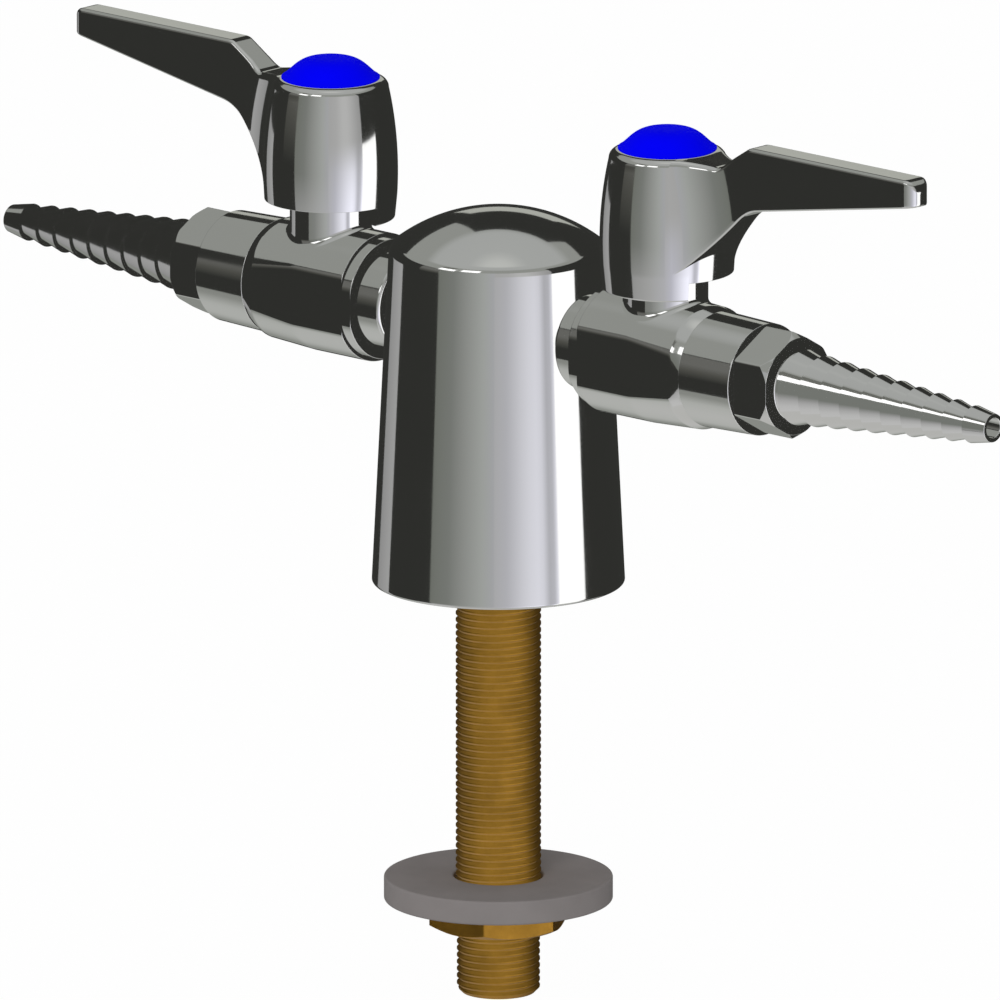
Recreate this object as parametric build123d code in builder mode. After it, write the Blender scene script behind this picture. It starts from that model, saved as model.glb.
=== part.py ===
"""Deck turret with two laboratory gas ball valves.

A chromed turret stands on a bench top. Its threaded brass shank goes down through the deck and
is held by a plastic washer and a hexagonal locknut. Two equal quarter-turn ball valves leave the
turret on one line, each with a lever handle, an index button and a serrated hose nozzle.

Frame: millimetres, +Z up, origin at the centre of the turret's base on the deck, +X along the
right-hand valve. The valve pieces are drawn on the right and turned half round for the left.
"""

import os
from math import atan2, cos, degrees, radians, sin, sqrt

from build123d import *

# How closely an edge must lie to be chosen, and how far cutters reach past a part
edge_tolerance = 0.01
cut_overreach = 3

# Clearances
running_clearance = 0.05
thread_clearance = 0.05
joint_gap = 0.05
seat_clearance = 0.06

# Turret: a slightly conical casting with a domed top
turret_base_radius = 25.4
turret_shoulder_radius = 21.9
turret_side_height = 68.7
turret_dome_rise = 7.8
turret_shoulder_round = 2.8
turret_base_round = 0.6
turret_wall = 3.2
turret_relief_depth = 36.0
turret_boss_radius = 12.8
turret_boss_recess = 0.5
gallery_radius = 6.1
side_gallery_radius = 5.0
gallery_cone = 1.0

# Shank: threaded brass tube through the deck
thread_pitch = 1.411
thread_depth = 0.62
thread_crest = 0.34
thread_root = 0.2
shank_radius = 8.57
shank_bore_radius = 6.1
shank_engagement = 16.0
shank_reach = 84.6
shank_end_chamfer = 1.0
supply_thread_radius = 8.35
supply_thread_length = 12.5

# Deck washer and locknut
washer_radius = 22.95
washer_thickness = 4.9
washer_top_depth = 60.6
washer_hole_clearance = 0.35
washer_edge_round = 0.3
nut_across_flats = 25.4
nut_thickness = 5.6
nut_turn = 1.3
nut_corner_chamfer = 1.3
nut_face_relief = 0.3

# Valve line
arm_height = 53.1
stem_distance = 45.8

# Valve body: stepped inlet end, parallel sides, slight taper to the outlet
body_radius = 13.05
body_shoulder_distance = 32.0
body_ring_radius = 12.2
body_ring_distance = 29.7
body_collar_radius = 9.6
body_step_chamfer = 0.3
body_taper_distance = 57.5
body_taper_radius = 12.45
body_seam_distance = 59.5
body_seam_radius = 11.6
body_flat_offset = 11.6
inlet_thread_radius = 8.5
inlet_thread_length = 10.5
inlet_port_radius = 4.8
neck_radius = 8.2
neck_top = 24.0
neck_root_round = 1.0
stop_wall_height = 1.6
stop_wall_thickness = 1.8

# Ball, seats and cavity
ball_radius = 8.0
ball_port_radius = 4.6
ball_slot_width = 3.1
ball_slot_floor = 5.6
cavity_clearance = 0.6
seat_length = 3.3
seat_start = 5.4
seat_flange_gap = 0.2
seat_radial_clearance = 0.1

# End cap: the round outlet section behind the hexagon
cap_thread_radius = 9.55
cap_shoulder_radius = 11.9
cap_outlet_radius = 11.3
cap_outlet_distance = 72.5
cap_edge = 0.5
cap_seal_thickness = 1.0
cap_seal_width = 0.95
nozzle_socket_depth = 11.0
nozzle_thread_radius = 6.65
nozzle_gasket_thickness = 1.0

# Hose nozzle: hexagon and ten serrations that taper to the tip
nozzle_across_flats = 19.05
nozzle_hex_end = 81.1
nozzle_inner_chamfer = 1.0
nozzle_outer_cone = 1.6
nozzle_cone_radius = 9.8
nozzle_collar_radius = 6.9
barb_count = 10
barb_start = 82.5
barb_pitch = 5.1
barb_depth = 0.85
barb_base_radius = 7.6
barb_last_radius = 3.8
barb_shoulder_run = 0.35
barb_crest_run = 0.3
tip_radius = 3.1
tip_bore_radius = 2.0
nozzle_bore_radius = 4.0

# Stem and its seals
stem_radius = 4.0
stem_tang_width = 3.0
stem_tang_length = 9.0
stem_flange_top = 10.0
stem_pocket_top = 11.0
stem_top = 34.6
stem_flat = 3.0
stem_tapped_depth = 10.0
o_ring_heights = (14.0, 18.5)
o_ring_section = 1.1
o_ring_groove_width = 1.5
o_ring_groove_radius = 2.9
stop_washer_thickness = 1.2
stop_washer_radius = 6.0
stop_tab_length = 1.5
stop_tab_angle = 36.0
stop_tab_direction = 180.0
quarter_turn = 90.0
stop_play = 0.5

# Handle: barrel hub with a skirt, and a flat lever that flares into it
hub_bottom = 18.2
hub_bottom_radius = 13.3
hub_middle = 29.0
hub_middle_radius = 13.35
hub_top = 42.9
hub_top_radius = 11.7
hub_rim_round = 0.8
hub_cavity_radius = 10.6
hub_web_bottom = 27.0
hub_web_top = 35.0
hub_recess_radius = 8.7
skirt_bottom = 14.5
skirt_bottom_radius = 12.9
skirt_start = 28.5
skirt_end = 182.0
skirt_lap = 6.0
lever_thickness = 6.0
lever_reach = 68.5
lever_top = 47.2
lever_tip_bottom = 42.0
lever_ramp_start = 16.0
lever_ramp_end = 25.0
lever_ramp_round = 4.0
lever_tip_round = 2.6
lever_tip_bottom_round = 0.6
flare_radius = 22.5
flare_bottom = 21.0
flare_bottom_radius = 13.3
arch_start = 8.2
arch_corner = 23.9
arch_rise = 1.017
arch_start_round = 0.1
arch_round = 10.0

# Handle screw and index button
screw_radius = 1.7
screw_length = 8.0
screw_head_radius = 5.6
screw_head_height = 2.4
screw_slot_width = 1.2
screw_slot_depth = 1.1
button_radius = 9.9
button_rim = 0.4
button_rise = 4.0
button_plug_depth = 4.3
button_plug_wall = 1.2
button_profile = ((0.86, 0.2), (0.7, 0.55), (0.5, 0.9))
button_rim_slope = 0.1

# Sizes that follow from the ones above
turret_taper = (turret_base_radius - turret_shoulder_radius) / turret_side_height
turret_radius_at_arm = turret_base_radius - turret_taper * arm_height
turret_dome_radius = (turret_shoulder_radius**2 + turret_dome_rise**2) / (2 * turret_dome_rise)
turret_dome_middle = (
    turret_shoulder_radius / 2,
    turret_side_height + turret_dome_rise - turret_dome_radius
    + sqrt(turret_dome_radius**2 - (turret_shoulder_radius / 2) ** 2),
)
body_start = turret_radius_at_arm + turret_taper * body_collar_radius + joint_gap
inlet_end = body_start - inlet_thread_length
cavity_radius = ball_radius + cavity_clearance
seat_reach = seat_start + seat_length
cavity_start = stem_distance - seat_reach
cap_nose = stem_distance + seat_reach
cap_seal_start = body_seam_distance - cap_seal_thickness
cap_seal_radius = cap_thread_radius + cap_seal_width
nozzle_socket_end = cap_outlet_distance - nozzle_socket_depth
nozzle_nose = nozzle_socket_end + nozzle_gasket_thickness
stem_flange_bottom = ball_radius + 4 * joint_gap
stem_flange_radius = seat_start - seat_flange_gap
arch_level = hub_bottom + (arch_corner - arch_start) * arch_rise
nut_top_depth = washer_top_depth + washer_thickness
nut_bottom_depth = nut_top_depth + nut_thickness
nozzle_corner_radius = nozzle_across_flats / 2 / cos(radians(30))
nut_corner_radius = nut_across_flats / 2 / cos(radians(30))
nozzle_tip = barb_start + barb_count * barb_pitch
nut_bore_radius = shank_radius + thread_clearance
dome_top = turret_side_height + turret_dome_rise

arm_axis = Axis((0, 0, arm_height), (1, 0, 0))
arm_plane = Plane(origin=(0, 0, arm_height), x_dir=(1, 0, 0), z_dir=(0, -1, 0))
stem_axis = Axis((stem_distance, 0, arm_height), (0, 0, 1))
stem_plane = Plane(origin=(stem_distance, 0, arm_height), x_dir=(1, 0, 0), z_dir=(0, -1, 0))
stem_floor = Plane(origin=(stem_distance, 0, arm_height), x_dir=(1, 0, 0), z_dir=(0, 0, 1))


def polar(radius, angle):
    """A point at a radius and an angle in degrees from the sketch's x direction."""
    return (radius * cos(radians(angle)), radius * sin(radians(angle)))


def thread_outline(start, end, radius):
    """Points down one side of a thread from height start to height end, ring by ring."""
    flank = (thread_pitch - thread_crest - thread_root) / 2
    points = []
    for ring in range(int((start - end) / thread_pitch)):
        crest = start - ring * thread_pitch
        points.append((radius, crest))
        points.append((radius, crest - thread_crest))
        points.append((radius - thread_depth, crest - thread_crest - flank))
        points.append((radius - thread_depth, crest - thread_crest - flank - thread_root))
    return points


def make_turret():
    """The casting: domed top, tapered side, hollow foot, shank socket and two valve sockets."""
    relief_radius = turret_base_radius - turret_wall
    socket_radius = shank_radius + thread_clearance
    socket_top = shank_engagement + joint_gap
    gallery_top = arm_height + gallery_radius
    with BuildPart() as turret:
        with BuildSketch(Plane.XZ):
            with BuildLine():
                Polyline(
                    (0, dome_top),
                    (0, 0),
                    (turret_base_radius, 0),
                    (turret_shoulder_radius, turret_side_height),
                )
                ThreePointArc(
                    (turret_shoulder_radius, turret_side_height),
                    turret_dome_middle,
                    (0, dome_top),
                )
            make_face()
        revolve(axis=Axis.Z)
        rims = turret.edges().filter_by(GeomType.CIRCLE)
        shoulder = rims.filter_by_position(
            Axis.Z,
            turret_side_height - edge_tolerance,
            turret_side_height + edge_tolerance,
        )
        fillet(shoulder, turret_shoulder_round)
        foot = turret.edges().filter_by(GeomType.CIRCLE).sort_by(Axis.Z)[0]
        fillet(foot, turret_base_round)
        with BuildSketch(Plane.XZ):
            with BuildLine():
                Polyline(
                    (turret_boss_radius, 0),
                    (relief_radius, 0),
                    (relief_radius - turret_taper * turret_relief_depth, turret_relief_depth),
                    (turret_boss_radius, turret_relief_depth),
                    close=True,
                )
            make_face()
        revolve(axis=Axis.Z, mode=Mode.SUBTRACT)
        with BuildSketch(Plane.XZ):
            with BuildLine():
                Polyline(
                    (0, 0),
                    (turret_boss_radius, 0),
                    (turret_boss_radius, turret_boss_recess),
                    (socket_radius + shank_end_chamfer, turret_boss_recess),
                    (socket_radius, turret_boss_recess + shank_end_chamfer),
                    (socket_radius, socket_top),
                    (gallery_radius, socket_top),
                    (gallery_radius, gallery_top),
                    (0, gallery_top + gallery_cone),
                    close=True,
                )
            make_face()
        revolve(axis=Axis.Z, mode=Mode.SUBTRACT)
        with BuildSketch(Plane.YZ):
            with Locations((0, arm_height)):
                Circle(side_gallery_radius)
        extrude(amount=inlet_end, both=True, mode=Mode.SUBTRACT)
        for side in (1, -1):
            with BuildSketch(Plane.YZ.offset(side * (inlet_end - joint_gap))):
                with Locations((0, arm_height)):
                    Circle(inlet_thread_radius + thread_clearance)
            extrude(amount=side * turret_base_radius, mode=Mode.SUBTRACT)
    return turret.part


def make_shank():
    """The threaded brass tube, with a slightly smaller supply thread below the locknut."""
    supply_top = supply_thread_length - shank_reach
    with BuildPart() as shank:
        with BuildSketch(Plane.XZ):
            with BuildLine():
                Polyline(
                    (shank_bore_radius, shank_engagement),
                    *thread_outline(shank_engagement, supply_top + thread_pitch, shank_radius),
                    *thread_outline(supply_top, shank_end_chamfer - shank_reach, supply_thread_radius),
                    (supply_thread_radius - thread_depth, shank_end_chamfer - shank_reach),
                    (supply_thread_radius - shank_end_chamfer, -shank_reach),
                    (shank_bore_radius, -shank_reach),
                    close=True,
                )
            make_face()
        revolve(axis=Axis.Z)
    return shank.part


def make_deck_washer():
    """The thick plastic washer that bears on the underside of the deck."""
    with BuildPart() as deck_washer:
        with BuildSketch(Plane.XY.offset(-washer_top_depth)):
            Circle(washer_radius)
            Circle(shank_radius + washer_hole_clearance, mode=Mode.SUBTRACT)
        extrude(amount=-washer_thickness)
        fillet(deck_washer.edges().filter_by(GeomType.CIRCLE), washer_edge_round)
    return deck_washer.part


def make_locknut():
    """The brass hexagon: flat face up to the washer, corners chamfered below."""
    chamfered_radius = nut_across_flats / 2 - nut_face_relief
    with BuildPart() as locknut:
        with BuildSketch(Plane.XY.offset(-nut_top_depth)):
            RegularPolygon(nut_across_flats / 2, 6, major_radius=False, rotation=nut_turn)
        extrude(amount=-nut_thickness)
        with BuildSketch(Plane.XZ):
            with BuildLine():
                Polyline(
                    (nut_bore_radius, -nut_top_depth),
                    (nut_corner_radius + nut_face_relief, -nut_top_depth),
                    (nut_corner_radius + nut_face_relief, nut_corner_chamfer - nut_bottom_depth),
                    (chamfered_radius, -nut_bottom_depth),
                    (nut_bore_radius + thread_depth, -nut_bottom_depth),
                    (nut_bore_radius, thread_depth - nut_bottom_depth),
                    close=True,
                )
            make_face()
        revolve(axis=Axis.Z, mode=Mode.INTERSECT)
    return locknut.part


def on_neck_root(edge):
    """True for the edges where the stem neck meets the body's round top."""
    middle = edge @ 0.5 - Vector(stem_distance, 0, arm_height)
    off_axis = sqrt(middle.X**2 + middle.Y**2)
    beside_neck = abs(off_axis - neck_radius) < edge_tolerance
    return beside_neck and middle.Z < body_radius + joint_gap and edge.length > neck_root_round


def make_valve_body():
    """The chromed body: stepped inlet end, side flats, stem neck, ball cavity and inlet thread."""
    flat_depth = body_radius - body_flat_offset
    window_start = stop_tab_direction - quarter_turn - stop_tab_angle / 2 - stop_play
    window_end = stop_tab_direction + stop_tab_angle / 2 + stop_play
    window_reach = cut_overreach * neck_radius
    seam_round_middle = (
        (body_taper_distance + body_seam_distance) / 2,
        body_taper_radius - (body_taper_radius - body_seam_radius) / 4,
    )
    with BuildPart() as valve_body:
        with BuildSketch(arm_plane):
            with BuildLine():
                Polyline(
                    (body_seam_distance, body_seam_radius),
                    (body_seam_distance, 0),
                    (body_start, 0),
                    (body_start, body_collar_radius),
                    (body_ring_distance, body_collar_radius),
                    (body_ring_distance, body_ring_radius - body_step_chamfer),
                    (body_ring_distance + body_step_chamfer, body_ring_radius),
                    (body_shoulder_distance, body_ring_radius),
                    (body_shoulder_distance, body_radius - body_step_chamfer),
                    (body_shoulder_distance + body_step_chamfer, body_radius),
                    (stem_distance, body_radius),
                    (body_taper_distance, body_taper_radius),
                )
                ThreePointArc(
                    (body_taper_distance, body_taper_radius),
                    seam_round_middle,
                    (body_seam_distance, body_seam_radius),
                )
            make_face()
        revolve(axis=arm_axis)
        with BuildSketch(arm_plane):
            with Locations(((body_start + body_seam_distance) / 2, 0)):
                Rectangle(body_seam_distance, 2 * body_radius)
        side_cut = extrude(amount=flat_depth, mode=Mode.PRIVATE)
        for side in (1, -1):
            offset = body_flat_offset if side > 0 else -body_flat_offset - flat_depth
            add(side_cut.moved(Location((0, offset + flat_depth, 0))), mode=Mode.SUBTRACT)
        with BuildSketch(stem_floor):
            Circle(neck_radius)
        extrude(amount=neck_top)
        neck_root = valve_body.edges().filter_by(on_neck_root)
        fillet(neck_root, neck_root_round)
        with BuildSketch(stem_floor.offset(neck_top)):
            Circle(neck_radius)
            Circle(neck_radius - stop_wall_thickness, mode=Mode.SUBTRACT)
            with BuildLine():
                ThreePointArc(
                    polar(window_reach, window_start),
                    polar(window_reach, (window_start + window_end) / 2),
                    polar(window_reach, window_end),
                )
                Polyline(polar(window_reach, window_end), (0, 0), polar(window_reach, window_start))
            make_face(mode=Mode.SUBTRACT)
        extrude(amount=stop_wall_height)
        with BuildSketch(arm_plane):
            with BuildLine():
                Polyline(
                    (cavity_start, 0),
                    (cavity_start, cavity_radius),
                    (cap_nose - joint_gap, cavity_radius),
                    (cap_nose - joint_gap, cap_thread_radius + thread_clearance),
                    (cap_seal_start, cap_thread_radius + thread_clearance),
                    (cap_seal_start, cap_seal_radius + joint_gap),
                    (body_seam_distance, cap_seal_radius + joint_gap),
                    (body_seam_distance, 0),
                    close=True,
                )
            make_face()
        revolve(axis=arm_axis, mode=Mode.SUBTRACT)
        with BuildSketch(Plane.YZ.offset(inlet_end)):
            with Locations((0, arm_height)):
                Circle(inlet_thread_radius)
        extrude(amount=body_start - inlet_end + joint_gap)
        with BuildSketch(Plane.YZ.offset(inlet_end)):
            with Locations((0, arm_height)):
                Circle(inlet_port_radius)
        extrude(amount=cavity_start - inlet_end + joint_gap, mode=Mode.SUBTRACT)
        with BuildSketch(stem_floor):
            Circle(stem_radius + running_clearance)
        extrude(amount=neck_top + stop_wall_height, mode=Mode.SUBTRACT)
        with BuildSketch(stem_floor):
            Circle(stem_flange_radius + running_clearance)
        extrude(amount=stem_pocket_top, mode=Mode.SUBTRACT)
    return valve_body.part


def make_end_cap():
    """The round outlet section: male thread into the body, female thread for the nozzle."""
    with BuildPart() as end_cap:
        with BuildSketch(arm_plane):
            with BuildLine():
                Polyline(
                    (cap_nose, ball_port_radius),
                    (cap_nose, cap_thread_radius),
                    (body_seam_distance, cap_thread_radius),
                    (body_seam_distance, cap_shoulder_radius - cap_edge),
                    (body_seam_distance + cap_edge, cap_shoulder_radius),
                    (cap_outlet_distance - cap_edge, cap_outlet_radius),
                    (cap_outlet_distance, cap_outlet_radius - cap_edge),
                    (cap_outlet_distance, nozzle_thread_radius + thread_clearance),
                    (nozzle_socket_end, nozzle_thread_radius + thread_clearance),
                    (nozzle_socket_end, ball_port_radius),
                    close=True,
                )
            make_face()
        revolve(axis=arm_axis)
    return end_cap.part


def make_cap_seal():
    """The flat ring that seals the end cap in the body."""
    with BuildPart() as cap_seal:
        with BuildSketch(Plane.YZ.offset(cap_seal_start + joint_gap)):
            with Locations((0, arm_height)):
                Circle(cap_seal_radius)
                Circle(cap_thread_radius + joint_gap, mode=Mode.SUBTRACT)
        extrude(amount=cap_seal_thickness - joint_gap)
    return cap_seal.part


def make_nozzle_gasket():
    """The fibre ring at the bottom of the nozzle's socket."""
    with BuildPart() as nozzle_gasket:
        with BuildSketch(Plane.YZ.offset(nozzle_socket_end)):
            with Locations((0, arm_height)):
                Circle(nozzle_thread_radius)
                Circle(ball_port_radius, mode=Mode.SUBTRACT)
        extrude(amount=nozzle_gasket_thickness)
    return nozzle_gasket.part


def make_hose_nozzle():
    """Hexagon, thread and tapered stem with serrations that hold a slipped-on hose."""
    radius_step = (barb_base_radius - barb_last_radius) / (barb_count - 1)
    barbs = []
    for barb in range(barb_count):
        foot = barb_start + barb * barb_pitch
        peak = barb_base_radius - barb * radius_step
        barbs.append((foot, peak - barb_depth))
        barbs.append((foot + barb_shoulder_run, peak))
        barbs.append((foot + barb_shoulder_run + barb_crest_run, peak))
    with BuildPart() as hose_nozzle:
        with BuildSketch(Plane.YZ.offset(cap_outlet_distance)):
            with Locations((0, arm_height)):
                RegularPolygon(nozzle_across_flats / 2, 6, major_radius=False, rotation=30)
        extrude(amount=nozzle_hex_end - cap_outlet_distance)
        with BuildSketch(arm_plane):
            with BuildLine():
                Polyline(
                    (cap_outlet_distance, 0),
                    (cap_outlet_distance, nozzle_corner_radius - nozzle_inner_chamfer),
                    (cap_outlet_distance + nozzle_inner_chamfer / 2, nozzle_corner_radius),
                    (nozzle_hex_end - nozzle_outer_cone, nozzle_corner_radius),
                    (nozzle_hex_end, nozzle_cone_radius),
                    (nozzle_hex_end, 0),
                    close=True,
                )
            make_face()
        revolve(axis=arm_axis, mode=Mode.INTERSECT)
        with BuildSketch(arm_plane):
            with BuildLine():
                Polyline(
                    (nozzle_nose, 0),
                    (nozzle_nose, nozzle_thread_radius),
                    (cap_outlet_distance, nozzle_thread_radius),
                    (nozzle_hex_end, nozzle_collar_radius),
                    *barbs,
                    (nozzle_tip, tip_radius),
                    (nozzle_tip, 0),
                    close=True,
                )
            make_face()
        revolve(axis=arm_axis)
        with BuildSketch(arm_plane):
            with BuildLine():
                Polyline(
                    (nozzle_nose, 0),
                    (nozzle_nose, nozzle_bore_radius),
                    (nozzle_tip, tip_bore_radius),
                    (nozzle_tip, 0),
                    close=True,
                )
            make_face()
        revolve(axis=arm_axis, mode=Mode.SUBTRACT)
    return hose_nozzle.part


def make_ball():
    """The ported ball, with a slot across its top for the stem."""
    with BuildPart() as ball:
        with BuildSketch(arm_plane):
            with BuildLine():
                CenterArc((stem_distance, 0), ball_radius, 0, 180)
                Line((stem_distance - ball_radius, 0), (stem_distance + ball_radius, 0))
            make_face()
        revolve(axis=arm_axis)
        with BuildSketch(Plane.YZ.offset(stem_distance)):
            with Locations((0, arm_height)):
                Circle(ball_port_radius)
        extrude(amount=2 * ball_radius, both=True, mode=Mode.SUBTRACT)
        with BuildSketch(stem_floor.offset(ball_slot_floor)):
            Rectangle(ball_slot_width, 2 * ball_radius)
        extrude(amount=ball_radius, mode=Mode.SUBTRACT)
    return ball.part


def make_seat(side):
    """One soft seat ring, cupped to the ball: side is 1 at the outlet and -1 at the inlet."""
    with BuildPart() as seat:
        with BuildSketch(Plane.YZ.offset(stem_distance + side * seat_start)):
            with Locations((0, arm_height)):
                Circle(cavity_radius - seat_radial_clearance)
                Circle(ball_port_radius, mode=Mode.SUBTRACT)
        extrude(amount=side * seat_length)
        with BuildSketch(arm_plane):
            with BuildLine():
                CenterArc((stem_distance, 0), ball_radius + seat_clearance, 0, 180)
                Line(
                    (stem_distance - ball_radius - seat_clearance, 0),
                    (stem_distance + ball_radius + seat_clearance, 0),
                )
            make_face()
        revolve(axis=arm_axis, mode=Mode.SUBTRACT)
    return seat.part


def make_inlet_seat():
    """The seat on the turret's side of the ball."""
    return make_seat(-1)


def make_outlet_seat():
    """The seat that the end cap holds against the ball."""
    return make_seat(1)


def make_stem():
    """The stem: tang in the ball, blow-out flange, two ring grooves and a flatted top."""
    grooves = []
    for height in o_ring_heights:
        grooves.append((stem_radius, height - o_ring_groove_width / 2))
        grooves.append((o_ring_groove_radius, height - o_ring_groove_width / 2))
        grooves.append((o_ring_groove_radius, height + o_ring_groove_width / 2))
        grooves.append((stem_radius, height + o_ring_groove_width / 2))
    with BuildPart() as stem:
        with BuildSketch(stem_plane):
            with BuildLine():
                Polyline(
                    (0, stem_flange_bottom),
                    (stem_flange_radius, stem_flange_bottom),
                    (stem_flange_radius, stem_flange_top),
                    (stem_radius, stem_flange_top),
                    *grooves,
                    (stem_radius, stem_top),
                    (0, stem_top),
                    close=True,
                )
            make_face()
        revolve(axis=stem_axis)
        with BuildSketch(stem_floor.offset(ball_slot_floor + joint_gap)):
            Rectangle(stem_tang_width, stem_tang_length)
        extrude(amount=stem_flange_bottom - ball_slot_floor)
        with BuildSketch(stem_floor.offset(neck_top)):
            with Locations((0, stem_flat + stem_radius), (0, -stem_flat - stem_radius)):
                Rectangle(2 * stem_radius, 2 * stem_radius)
        extrude(amount=stem_top - neck_top, mode=Mode.SUBTRACT)
        with BuildSketch(stem_floor.offset(stem_top)):
            Circle(screw_radius + thread_clearance)
        extrude(amount=-stem_tapped_depth, mode=Mode.SUBTRACT)
    return stem.part


def make_stem_o_rings():
    """The two rubber rings in the stem's grooves."""
    ring_radius = o_ring_groove_radius + joint_gap / 2 + o_ring_section / 2
    with BuildPart() as stem_o_rings:
        with BuildSketch(stem_plane):
            for height in o_ring_heights:
                with Locations((ring_radius, height)):
                    Circle(o_ring_section / 2)
        revolve(axis=stem_axis)
    return stem_o_rings.part


def make_thrust_washer():
    """The slippery washer between the stem's flange and the body."""
    with BuildPart() as thrust_washer:
        with BuildSketch(stem_floor.offset(stem_flange_top)):
            Circle(stem_flange_radius)
            Circle(stem_radius + running_clearance, mode=Mode.SUBTRACT)
        extrude(amount=stem_pocket_top - stem_flange_top - joint_gap)
    return thrust_washer.part


def make_stop_washer():
    """The keyed plate whose tab meets the neck's wall at each end of the quarter turn."""
    half_tab = stop_tab_angle / 2
    tab_reach = neck_radius - stop_wall_thickness + stop_tab_length
    with BuildPart() as stop_washer:
        with BuildSketch(stem_floor.offset(neck_top + joint_gap)):
            Circle(stop_washer_radius)
            with BuildLine():
                ThreePointArc(
                    polar(tab_reach, stop_tab_direction - half_tab),
                    polar(tab_reach, stop_tab_direction),
                    polar(tab_reach, stop_tab_direction + half_tab),
                )
                Polyline(
                    polar(tab_reach, stop_tab_direction + half_tab),
                    (0, 0),
                    polar(tab_reach, stop_tab_direction - half_tab),
                )
            make_face()
            with BuildSketch(mode=Mode.PRIVATE) as keyed_hole:
                Circle(stem_radius + running_clearance)
                Rectangle(
                    cut_overreach * stem_radius,
                    2 * (stem_flat + running_clearance),
                    mode=Mode.INTERSECT,
                )
            add(keyed_hole.sketch, mode=Mode.SUBTRACT)
        extrude(amount=stop_washer_thickness)
    return stop_washer.part


def flare_section(height, hub_radius):
    """Plan of the lever's root: two hollow arcs from the hub's side to the lever's faces."""
    half = lever_thickness / 2
    reach = sqrt((hub_radius + flare_radius) ** 2 - (half + flare_radius) ** 2)
    sweep = degrees(atan2(reach, half + flare_radius))
    with BuildSketch(stem_floor.offset(height)) as section:
        with BuildLine():
            near = CenterArc((reach, -half - flare_radius), flare_radius, 90, sweep)
            far = CenterArc((reach, half + flare_radius), flare_radius, 270, -sweep)
            Line(near @ 0, far @ 0)
            Line(near @ 1, far @ 1)
        make_face()
    return section.sketch


def make_handle():
    """The handle: barrel hub with a skirt on one side, and the flared lever."""
    skirt_angle = radians(-skirt_end)
    skirt_plane = Plane(
        origin=(stem_distance, 0, arm_height),
        x_dir=(cos(skirt_angle), sin(skirt_angle), 0),
        z_dir=(sin(skirt_angle), -cos(skirt_angle), 0),
    )
    with BuildPart() as lever:
        with BuildSketch(stem_floor.offset(flare_bottom)):
            with Locations((lever_reach / 2, 0)):
                Rectangle(lever_reach, lever_thickness)
        extrude(amount=lever_top - flare_bottom)
        loft(
            [
                flare_section(flare_bottom, flare_bottom_radius),
                flare_section(hub_top, hub_top_radius),
            ],
            ruled=True,
        )
        with BuildSketch(stem_plane):
            with BuildLine():
                outline = FilletPolyline(
                    (0, hub_bottom),
                    (arch_start, hub_bottom),
                    (arch_corner, arch_level),
                    (lever_reach, lever_tip_bottom),
                    (lever_reach, lever_top),
                    (lever_ramp_end, lever_top),
                    (lever_ramp_start, hub_top),
                    (0, hub_top),
                    radius=[
                        arch_start_round,
                        arch_round,
                        lever_tip_bottom_round,
                        lever_tip_round,
                        lever_ramp_round,
                        lever_ramp_round,
                    ],
                )
                Line(outline @ 1, outline @ 0)
            make_face()
        extrude(amount=hub_middle_radius + flare_radius, both=True, mode=Mode.INTERSECT)
    with BuildPart() as handle:
        with BuildSketch(stem_plane):
            with BuildLine():
                Polyline(
                    (hub_top_radius - hub_rim_round, hub_top),
                    (0, hub_top),
                    (0, hub_bottom),
                    (hub_bottom_radius, hub_bottom),
                )
                ThreePointArc(
                    (hub_bottom_radius, hub_bottom),
                    (hub_middle_radius, hub_middle),
                    (hub_top_radius, hub_top - hub_rim_round),
                )
                JernArc(
                    (hub_top_radius, hub_top - hub_rim_round),
                    (0, 1),
                    hub_rim_round,
                    90,
                )
            make_face()
        revolve(axis=stem_axis)
        add(lever.part)
        with BuildSketch(skirt_plane):
            with BuildLine():
                Polyline(
                    (hub_cavity_radius, skirt_bottom),
                    (skirt_bottom_radius - hub_rim_round, skirt_bottom),
                    (skirt_bottom_radius, skirt_bottom + hub_rim_round),
                    (hub_bottom_radius, hub_bottom),
                    (hub_bottom_radius, hub_bottom + skirt_lap),
                    (hub_cavity_radius, hub_bottom + skirt_lap),
                    close=True,
                )
            make_face()
        revolve(axis=stem_axis, revolution_arc=skirt_end - skirt_start)
        with BuildSketch(stem_floor.offset(skirt_bottom)):
            Circle(hub_cavity_radius)
        extrude(amount=hub_web_bottom - skirt_bottom, mode=Mode.SUBTRACT)
        with BuildSketch(stem_floor.offset(hub_web_top)):
            Circle(hub_recess_radius)
        extrude(amount=hub_top - hub_web_top, mode=Mode.SUBTRACT)
        with BuildSketch(stem_floor.offset(hub_web_bottom)):
            Circle(stem_radius + running_clearance)
            Rectangle(cut_overreach * stem_radius, 2 * (stem_flat + running_clearance), mode=Mode.INTERSECT)
        extrude(amount=hub_web_top - hub_web_bottom, mode=Mode.SUBTRACT)
    return handle.part


def make_handle_screw():
    """The slotted screw that clamps the handle's web to the stem."""
    with BuildPart() as handle_screw:
        with BuildSketch(stem_plane):
            with BuildLine():
                Polyline(
                    (0, hub_web_top - screw_length),
                    (screw_radius, hub_web_top - screw_length),
                    (screw_radius, hub_web_top),
                    (screw_head_radius, hub_web_top),
                    (screw_head_radius, hub_web_top + screw_head_height / 2),
                    (screw_head_radius - screw_slot_depth, hub_web_top + screw_head_height),
                    (0, hub_web_top + screw_head_height),
                    close=True,
                )
            make_face()
        revolve(axis=stem_axis)
        with BuildSketch(stem_floor.offset(hub_web_top + screw_head_height)):
            Rectangle(cut_overreach * screw_head_radius, screw_slot_width)
        extrude(amount=-screw_slot_depth, mode=Mode.SUBTRACT)
    return handle_screw.part


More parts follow.
